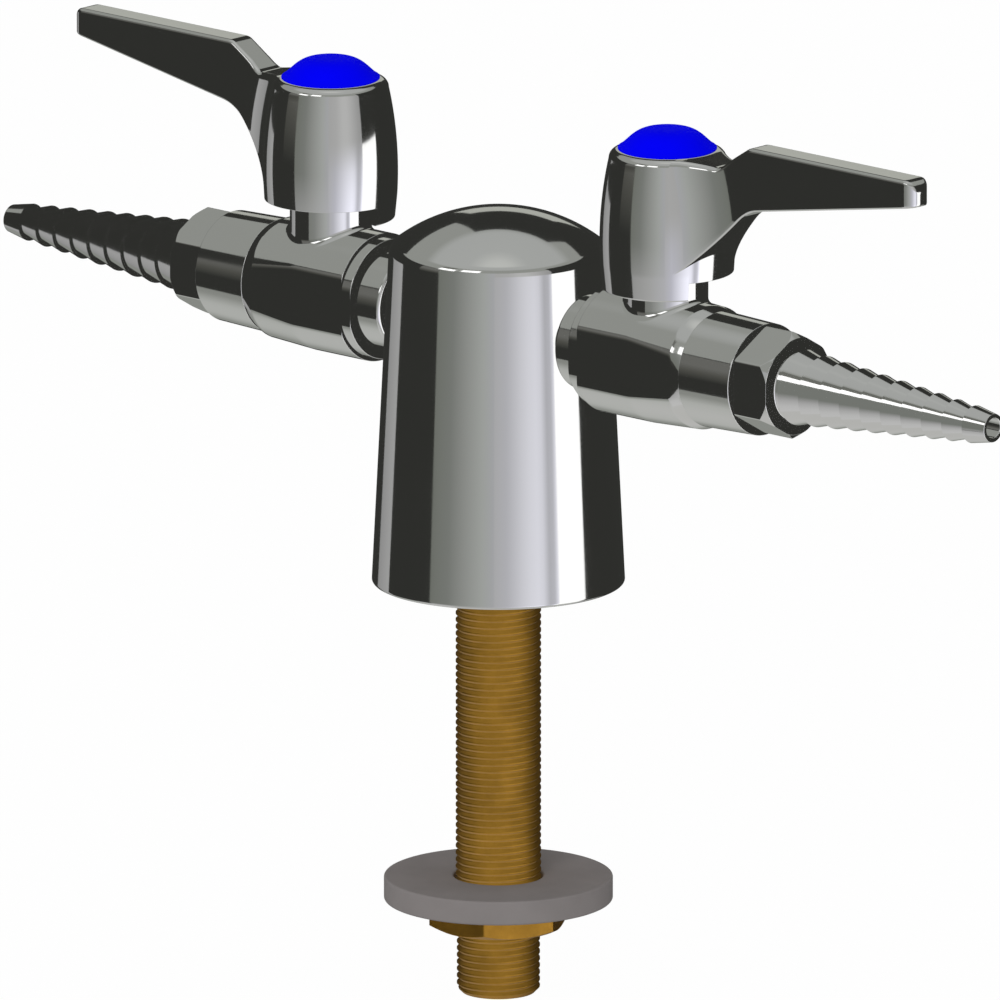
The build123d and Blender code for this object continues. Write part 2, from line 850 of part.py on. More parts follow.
def make_index_button():
    """The coloured button: a low dome over the hub, with a plug that snaps into the recess."""
    plug_radius = hub_recess_radius - running_clearance
    rim_top = hub_top + button_rim
    dome = [
        (share * button_radius, rim_top + lift * button_rise) for share, lift in button_profile
    ]
    with BuildPart() as index_button:
        with BuildSketch(stem_plane):
            with BuildLine():
                Spline(
                    (button_radius, rim_top),
                    *dome,
                    (0, rim_top + button_rise),
                    tangents=((-1, button_rim_slope), (-1, 0)),
                )
                Polyline(
                    (0, rim_top + button_rise),
                    (0, hub_top),
                    (plug_radius - button_plug_wall, hub_top),
                    (plug_radius - button_plug_wall, hub_top - button_plug_depth),
                    (plug_radius, hub_top - button_plug_depth),
                    (plug_radius, hub_top),
                    (button_radius, hub_top),
                    (button_radius, rim_top),
                )
            make_face()
        revolve(axis=stem_axis)
    return index_button.part


def write_piece(piece, name):
    """Label a finished piece and write it as parts/NAME.step."""
    piece.label = name
    export_step(piece, f"parts/{name}.step")


fixed_pieces = {
    "turret": make_turret,
    "shank": make_shank,
    "deck_washer": make_deck_washer,
    "locknut": make_locknut,
}
valve_pieces = {
    "valve_body": make_valve_body,
    "end_cap": make_end_cap,
    "cap_seal": make_cap_seal,
    "nozzle_gasket": make_nozzle_gasket,
    "hose_nozzle": make_hose_nozzle,
    "ball": make_ball,
    "inlet_seat": make_inlet_seat,
    "outlet_seat": make_outlet_seat,
    "stem": make_stem,
    "stem_o_rings": make_stem_o_rings,
    "thrust_washer": make_thrust_washer,
    "stop_washer": make_stop_washer,
    "handle": make_handle,
    "handle_screw": make_handle_screw,
    "index_button": make_index_button,
}

os.makedirs("parts", exist_ok=True)
for piece_name, make_piece in fixed_pieces.items():
    write_piece(make_piece(), piece_name)
for piece_name, make_piece in valve_pieces.items():
    valve_piece = make_piece()
    write_piece(valve_piece, f"right_{piece_name}")
    write_piece(valve_piece.rotate(Axis.Z, 180), f"left_{piece_name}")
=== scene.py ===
"""Deck turret with two laboratory gas ball valves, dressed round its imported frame.

Shapes are worked out in millimetres and scaled to metres when a piece is made. Three spindles carry
every turned shape: the turret's upright axis, the arm line through both valves, and the stem axis.
The right-hand valve is drawn, and the left-hand one is the same valve turned half round.
"""

import logging
import math
from collections.abc import Callable, Sequence
from dataclasses import dataclass
from enum import Enum
from functools import cached_property

import bmesh
import bpy
import numpy as np
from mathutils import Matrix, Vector

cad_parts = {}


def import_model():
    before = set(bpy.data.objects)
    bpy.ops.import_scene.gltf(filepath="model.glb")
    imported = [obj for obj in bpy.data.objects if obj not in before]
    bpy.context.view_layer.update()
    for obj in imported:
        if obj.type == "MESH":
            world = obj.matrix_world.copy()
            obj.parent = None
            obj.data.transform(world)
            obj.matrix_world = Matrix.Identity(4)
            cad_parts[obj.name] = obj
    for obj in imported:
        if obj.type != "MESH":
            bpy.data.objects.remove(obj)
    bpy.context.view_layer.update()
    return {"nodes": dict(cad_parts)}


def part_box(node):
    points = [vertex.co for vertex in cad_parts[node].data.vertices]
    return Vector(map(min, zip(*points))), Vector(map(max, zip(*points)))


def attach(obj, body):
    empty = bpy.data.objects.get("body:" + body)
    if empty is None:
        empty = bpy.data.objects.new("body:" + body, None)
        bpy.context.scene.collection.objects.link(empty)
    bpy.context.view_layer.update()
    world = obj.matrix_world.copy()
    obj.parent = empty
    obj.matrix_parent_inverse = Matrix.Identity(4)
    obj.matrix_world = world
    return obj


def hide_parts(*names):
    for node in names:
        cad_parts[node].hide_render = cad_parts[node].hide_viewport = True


LOG = logging.getLogger("gas_valve")
MILLIMETRE = 0.001
BRACE = 0.06
BRACES = 2
BRACE_SHARE = 0.25
ARC_SHARE = 0.49
STRAIGHT = 0.99999
FACING = 0.1
STEP_GAP = 1e-4
WELD = 0.0005
TINY = 1e-6
NOISE_MIDDLE = (0.3, 0.7)
NEUTRAL = (1.0, 1.0, 1.0)
DARK_TINT = (1.0, 1.02, 0.93)
BRIGHT_TINT = (1.0, 1.0, 1.13)
ZERO_AZIMUTH = -90.0
SHARP_ANGLE = math.radians(50)
HEXAGON_SIDE = math.radians(60)
WHITE = (1.0, 1.0, 1.0, 1.0)

Corner = tuple[float, float, float]
Colour = tuple[float, float, float]
Stops = tuple[tuple[float, Colour], ...]
Sockets = dict[str | int, object]


class Spindle(Enum):
    """The axis that a turned shape is drawn about."""

    DECK = "upright through the turret"
    ARM = "level through both valves"
    STEM = "upright through the ball"


class Side(Enum):
    """Which valve a piece belongs to."""

    RIGHT = 1
    LEFT = -1

    @property
    def word(self) -> str:
        """The side's name as the nodes spell it."""
        return self.name.lower()


class Body(Enum):
    """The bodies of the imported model, but for the two handles."""

    TURRET = "turret"
    WASHER = "deck_washer"
    NUT = "locknut"


@dataclass(frozen=True)
class Places:
    """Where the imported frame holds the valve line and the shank, in millimetres."""

    arm_height: float
    stem_distance: float
    dome_top: float
    base_radius: float
    shank_end: float
    washer_top: float
    nut_top: float
    shoulder_radius: float = 21.9
    side_height: float = 68.7

    @classmethod
    def from_frame(cls) -> "Places":
        """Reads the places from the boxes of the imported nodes.

        Returns:
            The places that every sub-assembly is set out from.
        """
        cap_low, cap_high = frame_box("right_end_cap")
        button_low, button_high = frame_box("right_index_button")
        turret_low, turret_high = frame_box("turret")
        return cls(
            arm_height=(cap_low[2] + cap_high[2]) / 2,
            stem_distance=(button_low[0] + button_high[0]) / 2,
            dome_top=turret_high[2],
            base_radius=(turret_high[0] - turret_low[0]) / 2,
            shank_end=frame_box("shank")[0][2],
            washer_top=frame_box("deck_washer")[1][2],
            nut_top=frame_box("locknut")[1][2],
        )

    @property
    def turret_taper(self) -> float:
        """How much the turret's radius shrinks for each millimetre of height."""
        return (self.base_radius - self.shoulder_radius) / self.side_height

    def turret_radius(self, height: float | np.ndarray) -> float | np.ndarray:
        """The turret's radius at a height."""
        return self.base_radius - self.turret_taper * height


def frame_box(node: str) -> tuple[np.ndarray, np.ndarray]:
    """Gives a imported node's lowest and highest corners, in millimetres."""
    low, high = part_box(node)
    return np.array(low) / MILLIMETRE, np.array(high) / MILLIMETRE


def rounded_line(corners: Sequence[Corner], steps: int = 5) -> np.ndarray:
    """Turns corners into a line with an arc at each rounded corner, braced so that flats stay flat.

    Args:
        corners: Points (first coordinate, second coordinate, rounding radius).
        steps: Straight runs in each arc.

    Returns:
        The points of the line, the same number for the same pattern of roundings.
    """
    line: list[np.ndarray] = []
    for index, (first, second, radius) in enumerate(corners):
        corner = np.array((first, second), dtype=float)
        if radius == 0 or index in (0, len(corners) - 1):
            line.append(corner)
            continue
        back = np.array(corners[index - 1][:2]) - corner
        ahead = np.array(corners[index + 1][:2]) - corner
        back_run, ahead_run = np.linalg.norm(back), np.linalg.norm(ahead)
        cosine = float(np.dot(back, ahead) / max(back_run * ahead_run, TINY**2))
        if min(back_run, ahead_run) < TINY or abs(cosine) > STRAIGHT:
            line.extend([corner] * (steps + 1 + BRACES))
            continue
        half = math.acos(cosine) / 2
        reach = min(radius / math.tan(half), ARC_SHARE * back_run, ARC_SHARE * ahead_run)
        arc_radius = reach * math.tan(half)
        bisector = back / back_run + ahead / ahead_run
        centre = corner + bisector / np.linalg.norm(bisector) * arc_radius / math.sin(half)
        start = corner + back / back_run * reach - centre
        end = corner + ahead / ahead_run * reach - centre
        turn = math.atan2(start[0] * end[1] - start[1] * end[0], float(np.dot(start, end)))
        brace = min(BRACE, BRACE_SHARE * (back_run - reach), BRACE_SHARE * (ahead_run - reach))
        line.append(corner + back / back_run * (reach + brace))
        for step in range(steps + 1):
            angle = turn * step / steps
            swing = (
                start[0] * math.cos(angle) - start[1] * math.sin(angle),
                start[0] * math.sin(angle) + start[1] * math.cos(angle),
            )
            line.append(centre + np.array(swing))
        line.append(corner + ahead / ahead_run * (reach + brace))
    return np.array(line)


def circle_through(*points: tuple[float, float]) -> Corner:
    """Finds the circle through three points.

    Args:
        *points: The three points.

    Returns:
        The centre's two coordinates and the radius.
    """
    rows = np.array(points, dtype=float)
    system = np.column_stack((2 * rows, np.ones(len(rows))))
    centre_x, centre_y, rest = np.linalg.solve(system, (rows**2).sum(axis=1))
    return centre_x, centre_y, math.sqrt(rest + centre_x**2 + centre_y**2)


def even_turn(count: int) -> np.ndarray:
    """Angles evenly spaced over one turn, in radians, with the first not repeated."""
    return np.linspace(0, 2 * math.pi, count, endpoint=False)


def stepped_turn(count: int, *steps: float) -> np.ndarray:
    """Even angles over one turn, in radians, with a close pair added where the section steps."""
    pairs = [step + shift for step in steps for shift in (-STEP_GAP, STEP_GAP)]
    return np.sort(np.concatenate((even_turn(count), pairs)))


def hexagon_turn(per_side: int, offset: float, crowding: float = 0.9) -> np.ndarray:
    """Angles over one turn that crowd at a hexagon's six corners.

    Args:
        per_side: Angles on each side of the hexagon.
        offset: Angle of one corner, in radians.
        crowding: How strongly they crowd, from 0 to 1.

    Returns:
        The angles in radians.
    """
    share = np.arange(per_side) / per_side
    crowded = share - crowding * np.sin(2 * math.pi * share) / (2 * math.pi)
    sides = [(side + crowded) * HEXAGON_SIDE + offset for side in range(6)]
    return np.concatenate(sides)


def hexagon_radius(angle: float, apothem: float, offset: float, softness: float = 0.1) -> float:
    """Distance from a hexagon's centre to its outline, with slightly softened corners.

    Args:
        angle: Direction in radians.
        apothem: Half the size across flats.
        offset: Angle of one corner, in radians.
        softness: How far the corner is worn back, in millimetres, at a rough measure.

    Returns:
        The distance in millimetres.
    """
    facings = offset + (np.arange(6) + 0.5) * HEXAGON_SIDE
    cosines = np.cos(angle - facings)
    reaches = apothem / cosines[cosines > FACING]
    return float(-softness * np.log(np.exp(-(reaches - apothem) / softness).sum()) + apothem)


def grid_faces(rows: int, columns: int, base: int = 0, wrap: bool = False) -> list[tuple[int, ...]]:
    """Lists the four-sided faces of a grid of points.

    Args:
        rows: Rows of points.
        columns: Points in each row.
        base: Number of the first point.
        wrap: Whether the last row joins the first one.

    Returns:
        The corners of each face, by the numbers of the points.
    """
    faces = []
    for row in range(rows if wrap else rows - 1):
        here = base + row * columns
        there = base + (row + 1) % rows * columns
        for column in range(columns - 1):
            faces.append((here + column, there + column, there + column + 1, here + column + 1))
    return faces


def direction(azimuth: float, elevation: float) -> Vector:
    """Finds the direction from the object to a place in the studio.

    Args:
        azimuth: Its azimuth in degrees.
        elevation: Its elevation in degrees.

    Returns:
        The direction, of length one.
    """
    turn, tilt = math.radians(azimuth), math.radians(elevation)
    level = math.cos(tilt)
    return Vector((math.sin(turn) * level, -math.cos(turn) * level, math.sin(tilt)))


def new_object(name: str, data: bpy.types.ID) -> bpy.types.Object:
    """Makes an object and links it into the scene.

    Args:
        name: Its name.
        data: Its mesh, camera or light.

    Returns:
        The object.
    """
    made = bpy.data.objects.new(name, data)
    bpy.context.scene.collection.objects.link(made)
    return made


class Shell:
    """Vertices and faces of one piece, gathered patch by patch in millimetres."""

    def __init__(self, places: Places, side: Side = Side.RIGHT) -> None:
        """Starts an empty shell.

        Args:
            places: Where the spindles stand.
            side: The valve that the piece belongs to.
        """
        self.places = places
        self.side = side
        self.points: list[np.ndarray] = []
        self.faces: list[tuple[int, ...]] = []
        self.count = 0

    def placed(self, points: np.ndarray, spindle: Spindle) -> np.ndarray:
        """Moves points from a spindle's own coordinates into the frame.

        Args:
            points: Points about the spindle.
            spindle: The spindle that they are drawn about.

        Returns:
            The points in the frame, turned half round for the left-hand valve.
        """
        shift = {
            Spindle.DECK: (0.0, 0.0, 0.0),
            Spindle.ARM: (0.0, 0.0, self.places.arm_height),
            Spindle.STEM: (self.places.stem_distance, 0.0, self.places.arm_height),
        }[spindle]
        turn = np.array((self.side.value, self.side.value, 1.0))
        return (points + np.array(shift)) * turn

    def add_grid(self, grid: np.ndarray, spindle: Spindle, wrap: bool = False) -> None:
        """Adds a patch of four-sided faces.

        Args:
            grid: Points in rows and columns, shape (rows, columns, 3).
            spindle: The spindle that the grid is drawn about.
            wrap: Whether the last row joins the first one.
        """
        rows, columns = grid.shape[:2]
        self.faces.extend(grid_faces(rows, columns, self.count, wrap))
        self.points.append(self.placed(grid.reshape(-1, 3), spindle))
        self.count += rows * columns

    def add_face(self, ring: np.ndarray, spindle: Spindle) -> None:
        """Adds one many-sided face.

        Args:
            ring: The points round the face.
            spindle: The spindle that it is drawn about.
        """
        self.points.append(self.placed(ring, spindle))
        self.faces.append(tuple(range(self.count, self.count + len(ring))))
        self.count += len(ring)

    def turn(
        self,
        profile: Callable[[float], np.ndarray] | np.ndarray,
        spindle: Spindle,
        angles: np.ndarray,
    ) -> None:
        """Turns a profile once round a spindle.

        Args:
            profile: Points (radius, distance along the spindle), or a function of the angle.
            spindle: The spindle.
            angles: Angles in radians, one for each row of the patch.
        """
        rows = []
        for angle in angles:
            line = profile(float(angle)) if callable(profile) else profile
            across = line[:, 0] * math.cos(angle)
            along = line[:, 0] * math.sin(angle)
            if spindle is Spindle.ARM:
                rows.append(np.column_stack((line[:, 1], across, along)))
            else:
                rows.append(np.column_stack((across, along, line[:, 1])))
        self.add_grid(np.array(rows), spindle, wrap=True)

    def build(self, name: str, finish: "Finish", body: str, replaced: str) -> None:
        """Makes the mesh object, dresses it and hands it to its body.

        Args:
            name: Name of the new piece.
            finish: The finish that covers it.
            body: The body that it rides on.
            replaced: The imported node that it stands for.
        """
        mesh = bpy.data.meshes.new(name)
        points = np.concatenate(self.points) * MILLIMETRE
        mesh.from_pydata(points.tolist(), [], self.faces)
        self.clean(mesh)
        mesh.shade_smooth()
        mesh.set_sharp_from_angle(angle=SHARP_ANGLE)
        mesh.materials.append(finish.material())
        piece = new_object(name, mesh)
        piece.visible_glossy = False
        piece.modifiers.new("even_normals", "WEIGHTED_NORMAL").keep_sharp = True
        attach(piece, body)
        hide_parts(replaced)
        LOG.info("%s: %d vertices, rides on %s", name, len(mesh.vertices), body)

    @staticmethod
    def clean(mesh: bpy.types.Mesh) -> None:
        """Joins meeting vertices, drops empty faces and turns every face outward.

        Args:
            mesh: The mesh to clean.
        """
        joined = WELD * MILLIMETRE
        draft = bmesh.new()
        draft.from_mesh(mesh)
        bmesh.ops.remove_doubles(draft, verts=draft.verts, dist=joined)
        bmesh.ops.dissolve_degenerate(draft, edges=draft.edges, dist=joined)
        bmesh.ops.recalc_face_normals(draft, faces=draft.faces)
        draft.to_mesh(mesh)
        draft.free()


class Recipe:
    """The node tree of one material or of the world, built node by node."""

    def __init__(self, owner: bpy.types.Material | bpy.types.World) -> None:
        """Empties the owner's tree and gives it an output.

        Args:
            owner: The new material or world.
        """
        owner.use_nodes = True
        self.owner = owner
        self.tree = owner.node_tree
        self.tree.nodes.clear()
        kind = "Material" if isinstance(owner, bpy.types.Material) else "World"
        self.output = self.node(f"ShaderNodeOutput{kind}")

    @cached_property
    def place(self) -> bpy.types.NodeSocket:
        """The piece's own coordinates, in metres."""
        return self.node("ShaderNodeTexCoord").outputs["Object"]

    def node(self, kind: str, sockets: Sockets | None = None, **settings: object) -> bpy.types.Node:
        """Adds one node.

        Args:
            kind: The node's type.
            sockets: A value or a source for each input, by name or number.
            **settings: The node's own options.

        Returns:
            The new node.
        """
        made = self.tree.nodes.new(kind)
        for option, value in settings.items():
            setattr(made, option, value)
        for socket, value in (sockets or {}).items():
            if isinstance(value, bpy.types.NodeSocket):
                self.tree.links.new(value, made.inputs[socket])
            else:
                made.inputs[socket].default_value = value
        return made

    def calculate(self, operation: str, sockets: Sockets) -> bpy.types.NodeSocket:
        """Adds one step of arithmetic and gives its result's socket."""
        return self.node("ShaderNodeMath", sockets, operation=operation).outputs[0]

    def noise(self, grain: "Grain") -> bpy.types.NodeSocket:
        """Adds fine random variation.

        Args:
            grain: The variation's size, detail and stretch.

        Returns:
            The socket that gives the variation, from 0 to 1.
        """
        scale = tuple(factor / (grain.size * MILLIMETRE) for factor in grain.stretch)
        mapped = self.node("ShaderNodeMapping", {"Vector": self.place, "Scale": scale})
        sockets = {"Vector": mapped.outputs[0], "Scale": 1.0, "Detail": grain.detail}
        return self.node("ShaderNodeTexNoise", sockets).outputs["Fac"]

    def spread(self, source: bpy.types.NodeSocket, low: float, high: float) -> bpy.types.NodeSocket:
        """Stretches the middle of a variation over a range.

        Args:
            source: The variation.
            low: Value where the variation is low.
            high: Value where the variation is high.

        Returns:
            The socket that gives the new value.
        """
        least, most = NOISE_MIDDLE
        sockets = {"Value": source, "From Min": least, "From Max": most, "To Min": low, "To Max": high}
        return self.node("ShaderNodeMapRange", sockets).outputs["Result"]

    def blend(self, share: bpy.types.NodeSocket, first: Colour, second: Colour) -> bpy.types.NodeSocket:
        """Mixes two colours by a variation, the first where it is low and the second where it is high."""
        sockets = {0: share, 6: (*first, 1.0), 7: (*second, 1.0)}
        return self.node("ShaderNodeMix", sockets, data_type="RGBA").outputs[2]

    def bump(
        self, height: bpy.types.NodeSocket, depth: float, below: bpy.types.NodeSocket | None = None
    ) -> bpy.types.NodeSocket:
        """Adds surface relief.

        Args:
            height: The variation that raises the surface.
            depth: Depth of the relief in millimetres.
            below: Relief that this one lies on.

        Returns:
            The socket that gives the new normal.
        """
        sockets: Sockets = {"Height": height, "Strength": 1.0, "Distance": depth * MILLIMETRE}
        if below is not None:
            sockets["Normal"] = below
        return self.node("ShaderNodeBump", sockets).outputs["Normal"]

    def seen_directly(self) -> bpy.types.NodeSocket:
        """A factor that is one for camera, glossy and transmission rays.

        Returns:
            The socket of the factor.
        """
        rays = self.node("ShaderNodeLightPath").outputs
        either = self.calculate("MAXIMUM", {0: rays["Is Camera Ray"], 1: rays["Is Glossy Ray"]})
        return self.calculate("MAXIMUM", {0: either, 1: rays["Is Transmission Ray"]})

    def end(self, shader: bpy.types.NodeSocket) -> None:
        """Ends the tree with a shader."""
        self.tree.links.new(shader, self.output.inputs[0])


@dataclass(frozen=True)
class Grain:
    """One random variation of a finish: sizes and depth in millimetres."""

    size: float
    detail: float
    depth: float = 0.0
    stretch: tuple[float, float, float] = (1.0, 1.0, 1.0)


@dataclass(frozen=True)
class Finish:
    """A surface whose colour and roughness vary, each with its own grain, under one or more reliefs."""

    label: str
    slot: str
    colour: Colour
    roughness: float
    patches: Grain
    wear: Grain
    reliefs: tuple[Grain, ...]
    darkest: float
    wear_span: tuple[float, float]
    strong_patches: bool = True
    metallic: float = 1.0
    refraction: float = 1.5
    gloss: float = 0.5

    def material(self) -> bpy.types.Material:
        """The finish's material, made once and shared."""
        known = bpy.data.materials.get(self.label)
        return known if known else self.mix(Recipe(bpy.data.materials.new(self.label)))

    def mix(self, recipe: Recipe) -> bpy.types.Material:
        """Builds the material.

        Args:
            recipe: The empty recipe to fill.

        Returns:
            The finished material.
        """
        grains = (self.patches, self.wear, *self.reliefs)
        noises = {grain: recipe.noise(grain) for grain in dict.fromkeys(grains)}
        relief = None
        for grain in self.reliefs:
            relief = recipe.bump(noises[grain], grain.depth, relief)
        patches = noises[self.patches]
        if self.strong_patches:
            patches = recipe.spread(patches, 0.0, 1.0)
        low, high = (self.roughness + shift for shift in self.wear_span)
        dark = tuple(self.darkest * part for part in self.colour)
        shader = recipe.node(
            "ShaderNodeBsdfPrincipled",
            {
                "Base Color": recipe.blend(patches, dark, self.colour),
                "Metallic": self.metallic,
                "Roughness": recipe.spread(noises[self.wear], low, high),
                "IOR": self.refraction,
                "Specular IOR Level": self.gloss,
                "Normal": relief,
            },
        )
        recipe.end(shader.outputs[0])
        return recipe.owner


def polished_plate(label: str, slot: str, roughness: float) -> Finish:
    """Chrome plate over polished brass: a mirror with faint waves and a soft bloom.

    Args:
        label: Name of the material.
        slot: A slot name, kept on the finish and not used further.
        roughness: Roughness where the plate is clearest.

    Returns:
        The finish.
    """
    bloom = Grain(14.0, 5.0)
    waves, pores = Grain(7.0, 1.0, 0.002), Grain(0.35, 2.0, 0.00006)
    return Finish(
        label,
        slot,
        colour=(0.83, 0.83, 0.82),
        roughness=roughness,
        patches=bloom,
        wear=bloom,
        reliefs=(waves, pores),
        darkest=0.985,
        wear_span=(0.0, 0.035),
        strong_patches=False,
    )


def moulded_plastic(
    label: str,
    slot: str,
    colour: Colour,
    roughness: float,
    depth: float,
    darkest: float,
    shine: tuple[float, float],
) -> Finish:
    """Moulded plastic: even colour with a fine grain.

    Args:
        label: Name of the material.
        slot: A slot name, kept on the finish and not used further.
        colour: The colour.
        roughness: Its middle roughness.
        depth: Depth of the grain in millimetres.
        darkest: How dark its darker patches are, as a share of the colour.
        shine: Its refraction and its gloss.

    Returns:
        The finish.
    """
    grain = Grain(0.3, 3.0, depth)
    refraction, gloss = shine
    return Finish(
        label,
        slot,
        colour,
        roughness,
        patches=Grain(9.0, 4.0),
        wear=grain,
        reliefs=(grain,),
        darkest=darkest,
        wear_span=(-0.05, 0.07),
        metallic=0.0,
        refraction=refraction,
        gloss=gloss,
    )


def inner_part(label: str, slot: str, colour: Colour, roughness: float, metallic: float = 0.0) -> Finish:
    """Rubber, fibre, white plastic or steel of the parts inside.

    Args:
        label: Name of the material.
        slot: A slot name, kept on the finish and not used further.
        colour: The colour.
        roughness: Its middle roughness.
        metallic: One for a metal.

    Returns:
        The finish.
    """
    grain = Grain(0.4, 4.0, 0.003)
    return Finish(
        label,
        slot,
        colour,
        roughness,
        patches=grain,
        wear=grain,
        reliefs=(grain,),
        darkest=0.8,
        wear_span=(-0.05, 0.05),
        strong_patches=False,
        metallic=metallic,
    )


CHROME = polished_plate("polished_chrome", "chrome_plate", 0.055)
HANDLE_CHROME = polished_plate("lever_chrome", "handle_chrome", 0.06)
SPECKS = Grain(0.5, 4.0, 0.0016)
TOOL_MARKS = Grain(0.12, 2.0, 0.0016, (0.15, 0.15, 1.0))
BRASS = Finish(
    "turned_brass",
    "yellow_brass",
    colour=(0.63, 0.33, 0.048),
    roughness=0.42,
    patches=Grain(6.0, 6.0),
    wear=SPECKS,
    reliefs=(SPECKS, TOOL_MARKS),
    darkest=0.72,
    wear_span=(-0.06, 0.08),
)
WASHER_GREY = moulded_plastic(
    "moulded_washer", "washer_plastic", (0.24, 0.222, 0.218), 0.6, 0.006, 0.9, (1.2, 0.1)
)
BUTTON_BLUE = moulded_plastic(
    "blue_cover", "index_blue", (0.001, 0.001, 0.98), 0.42, 0.001, 0.96, (1.1, 0.05)
)
STEEL = inner_part("plain_steel", "stainless_steel", (0.6, 0.59, 0.57), 0.25, metallic=1.0)
SEAT_WHITE = inner_part("white_ptfe", "seat_ptfe", (0.85, 0.85, 0.83), 0.4)
RUBBER = inner_part("sealing_rubber", "black_rubber", (0.02, 0.02, 0.02), 0.6)
FIBRE = inner_part("pressed_fibre", "gasket_fibre", (0.35, 0.1, 0.06), 0.8)


@dataclass(frozen=True)
class Turret:
    """The chromed casting: a slightly conical drum with a domed top and a hollow foot."""

    places: Places
    shoulder_round: float = 2.8
    base_round: float = 0.6
    wall: float = 3.2
    relief_depth: float = 36.0
    boss_radius: float = 12.8
    boss_recess: float = 0.5
    socket_radius: float = 8.62
    socket_depth: float = 15.0
    socket_lead: float = 1.0
    lip_round: float = 0.3
    hollow_round: float = 2.0
    shoulder_points: int = 10
    dome_points: int = 30
    side_points: int = 12
    columns: int = 256

    def dome(self) -> np.ndarray:
        """Works out the shoulder's arc and the dome above it.

        Returns:
            Points (radius, height) from the top of the side to the dome's middle.
        """
        taper = self.places.turret_taper
        rise = self.places.dome_top - self.places.side_height
        dome_radius = (self.places.shoulder_radius**2 + rise**2) / (2 * rise)
        dome_centre = self.places.dome_top - dome_radius
        lean = math.hypot(1, taper)
        offset = self.places.base_radius - self.shoulder_round * lean
        reach = dome_radius - self.shoulder_round
        half = (taper * offset + dome_centre) / lean**2
        centre_height = half + math.sqrt(half**2 - (offset**2 + dome_centre**2 - reach**2) / lean**2)
        centre_radius = offset - taper * centre_height
        side_angle = math.atan(taper)
        dome_angle = math.atan2(centre_height - dome_centre, centre_radius)
        shoulder = [
            (
                centre_radius + self.shoulder_round * math.cos(angle),
                centre_height + self.shoulder_round * math.sin(angle),
            )
            for angle in np.linspace(side_angle, dome_angle, self.shoulder_points)
        ]
        top = [
            (dome_radius * math.cos(angle), dome_centre + dome_radius * math.sin(angle))
            for angle in np.linspace(dome_angle, math.pi / 2, self.dome_points)[1:]
        ]
        return np.array(shoulder + top)

    def build(self) -> None:
        """Builds the casting."""
        taper = self.places.turret_taper
        hollow = self.places.base_radius - self.wall
        foot = rounded_line(
            [
                (self.socket_radius, self.socket_depth, 0),
                (self.socket_radius, self.boss_recess + self.socket_lead, self.lip_round),
                (self.socket_radius + self.socket_lead, self.boss_recess, self.lip_round),
                (self.boss_radius, self.boss_recess, self.lip_round),
                (self.boss_radius, self.relief_depth, self.hollow_round),
                (hollow - taper * self.relief_depth, self.relief_depth, self.hollow_round),
                (hollow, 0, self.lip_round),
                (self.places.base_radius, 0, self.base_round),
                (self.places.shoulder_radius, self.places.side_height, 0),
            ]
        )[:-1]
        dome = self.dome()
        side = np.linspace(foot[-1], dome[0], self.side_points)[1:-1]
        shell = Shell(self.places)
        shell.turn(np.concatenate((foot, side, dome)), Spindle.DECK, even_turn(self.columns))
        shell.build("turret_casting", CHROME, Body.TURRET.value, "turret")


@dataclass(frozen=True)
class Shank:
    """The brass tube with a true right-hand screw thread and a slightly smaller supply thread."""

    places: Places
    pitch: float = 1.411
    depth: float = 0.62
    crest: float = 0.34
    root: float = 0.2
    radius: float = 8.57
    supply_radius: float = 8.35
    supply_length: float = 12.5
    bore_radius: float = 6.1
    bore_round: float = 0.25
    bore_depth: float = 37.5
    chamfer: float = 1.0
    hidden_top: float = 4.0
    spare_turns: int = 2
    edge_wear: float = 0.035
    columns: int = 96

    def turn_profile(self) -> list[tuple[float, float]]:
        """One pitch of the thread.

        Returns:
            Points (share of the pitch, depth below the crest).
        """
        flank = (self.pitch - self.crest - self.root) / 2
        soft = self.edge_wear
        marks = [
            (0.0, soft),
            (soft, 0.0),
            (self.crest - soft, 0.0),
            (self.crest, soft),
            (self.crest + flank / 2, self.depth / 2),
            (self.crest + flank, self.depth - soft),
            (self.crest + flank + soft, self.depth),
            (self.crest + flank + self.root - soft, self.depth),
            (self.crest + flank + self.root, self.depth - soft),
            (self.pitch - flank / 2, self.depth / 2),
        ]
        return [(length / self.pitch, drop) for length, drop in marks]

    def outer_radius(self, height: float, drop: float) -> float:
        """Radius of the thread at a height.

        Args:
            height: Height in the frame.
            drop: Depth below the crest.

        Returns:
            The radius, cut back by the chamfer at the lower end.
        """
        above_end = height - self.places.shank_end
        crest_radius = self.supply_radius if above_end < self.supply_length else self.radius
        return min(crest_radius - drop, self.supply_radius - self.chamfer + above_end)

    def build(self) -> None:
        """Builds the thread, the end face and the bore."""
        end = self.places.shank_end
        turns = int((self.hidden_top - end) / self.pitch) + self.spare_turns
        profile = self.turn_profile()
        rows = []
        for column in range(self.columns + 1):
            angle = 2 * math.pi * column / self.columns
            row = []
            for turn in range(turns):
                for share, drop in profile:
                    wound = self.hidden_top - (turn + share - column / self.columns) * self.pitch
                    height = max(wound, end)
                    radius = self.outer_radius(height, drop)
                    row.append((radius * math.cos(angle), radius * math.sin(angle), height))
            rows.append(row)
        shell = Shell(self.places)
        shell.add_grid(np.array(rows), Spindle.DECK)
        bore = rounded_line(
            [
                (self.supply_radius - self.chamfer, end, 0),
                (self.bore_radius, end, self.bore_round),
                (self.bore_radius, end + self.bore_depth, 0),
            ]
        )
        shell.turn(bore, Spindle.DECK, even_turn(self.columns))
        shell.build("threaded_shank", BRASS, Body.TURRET.value, "shank")


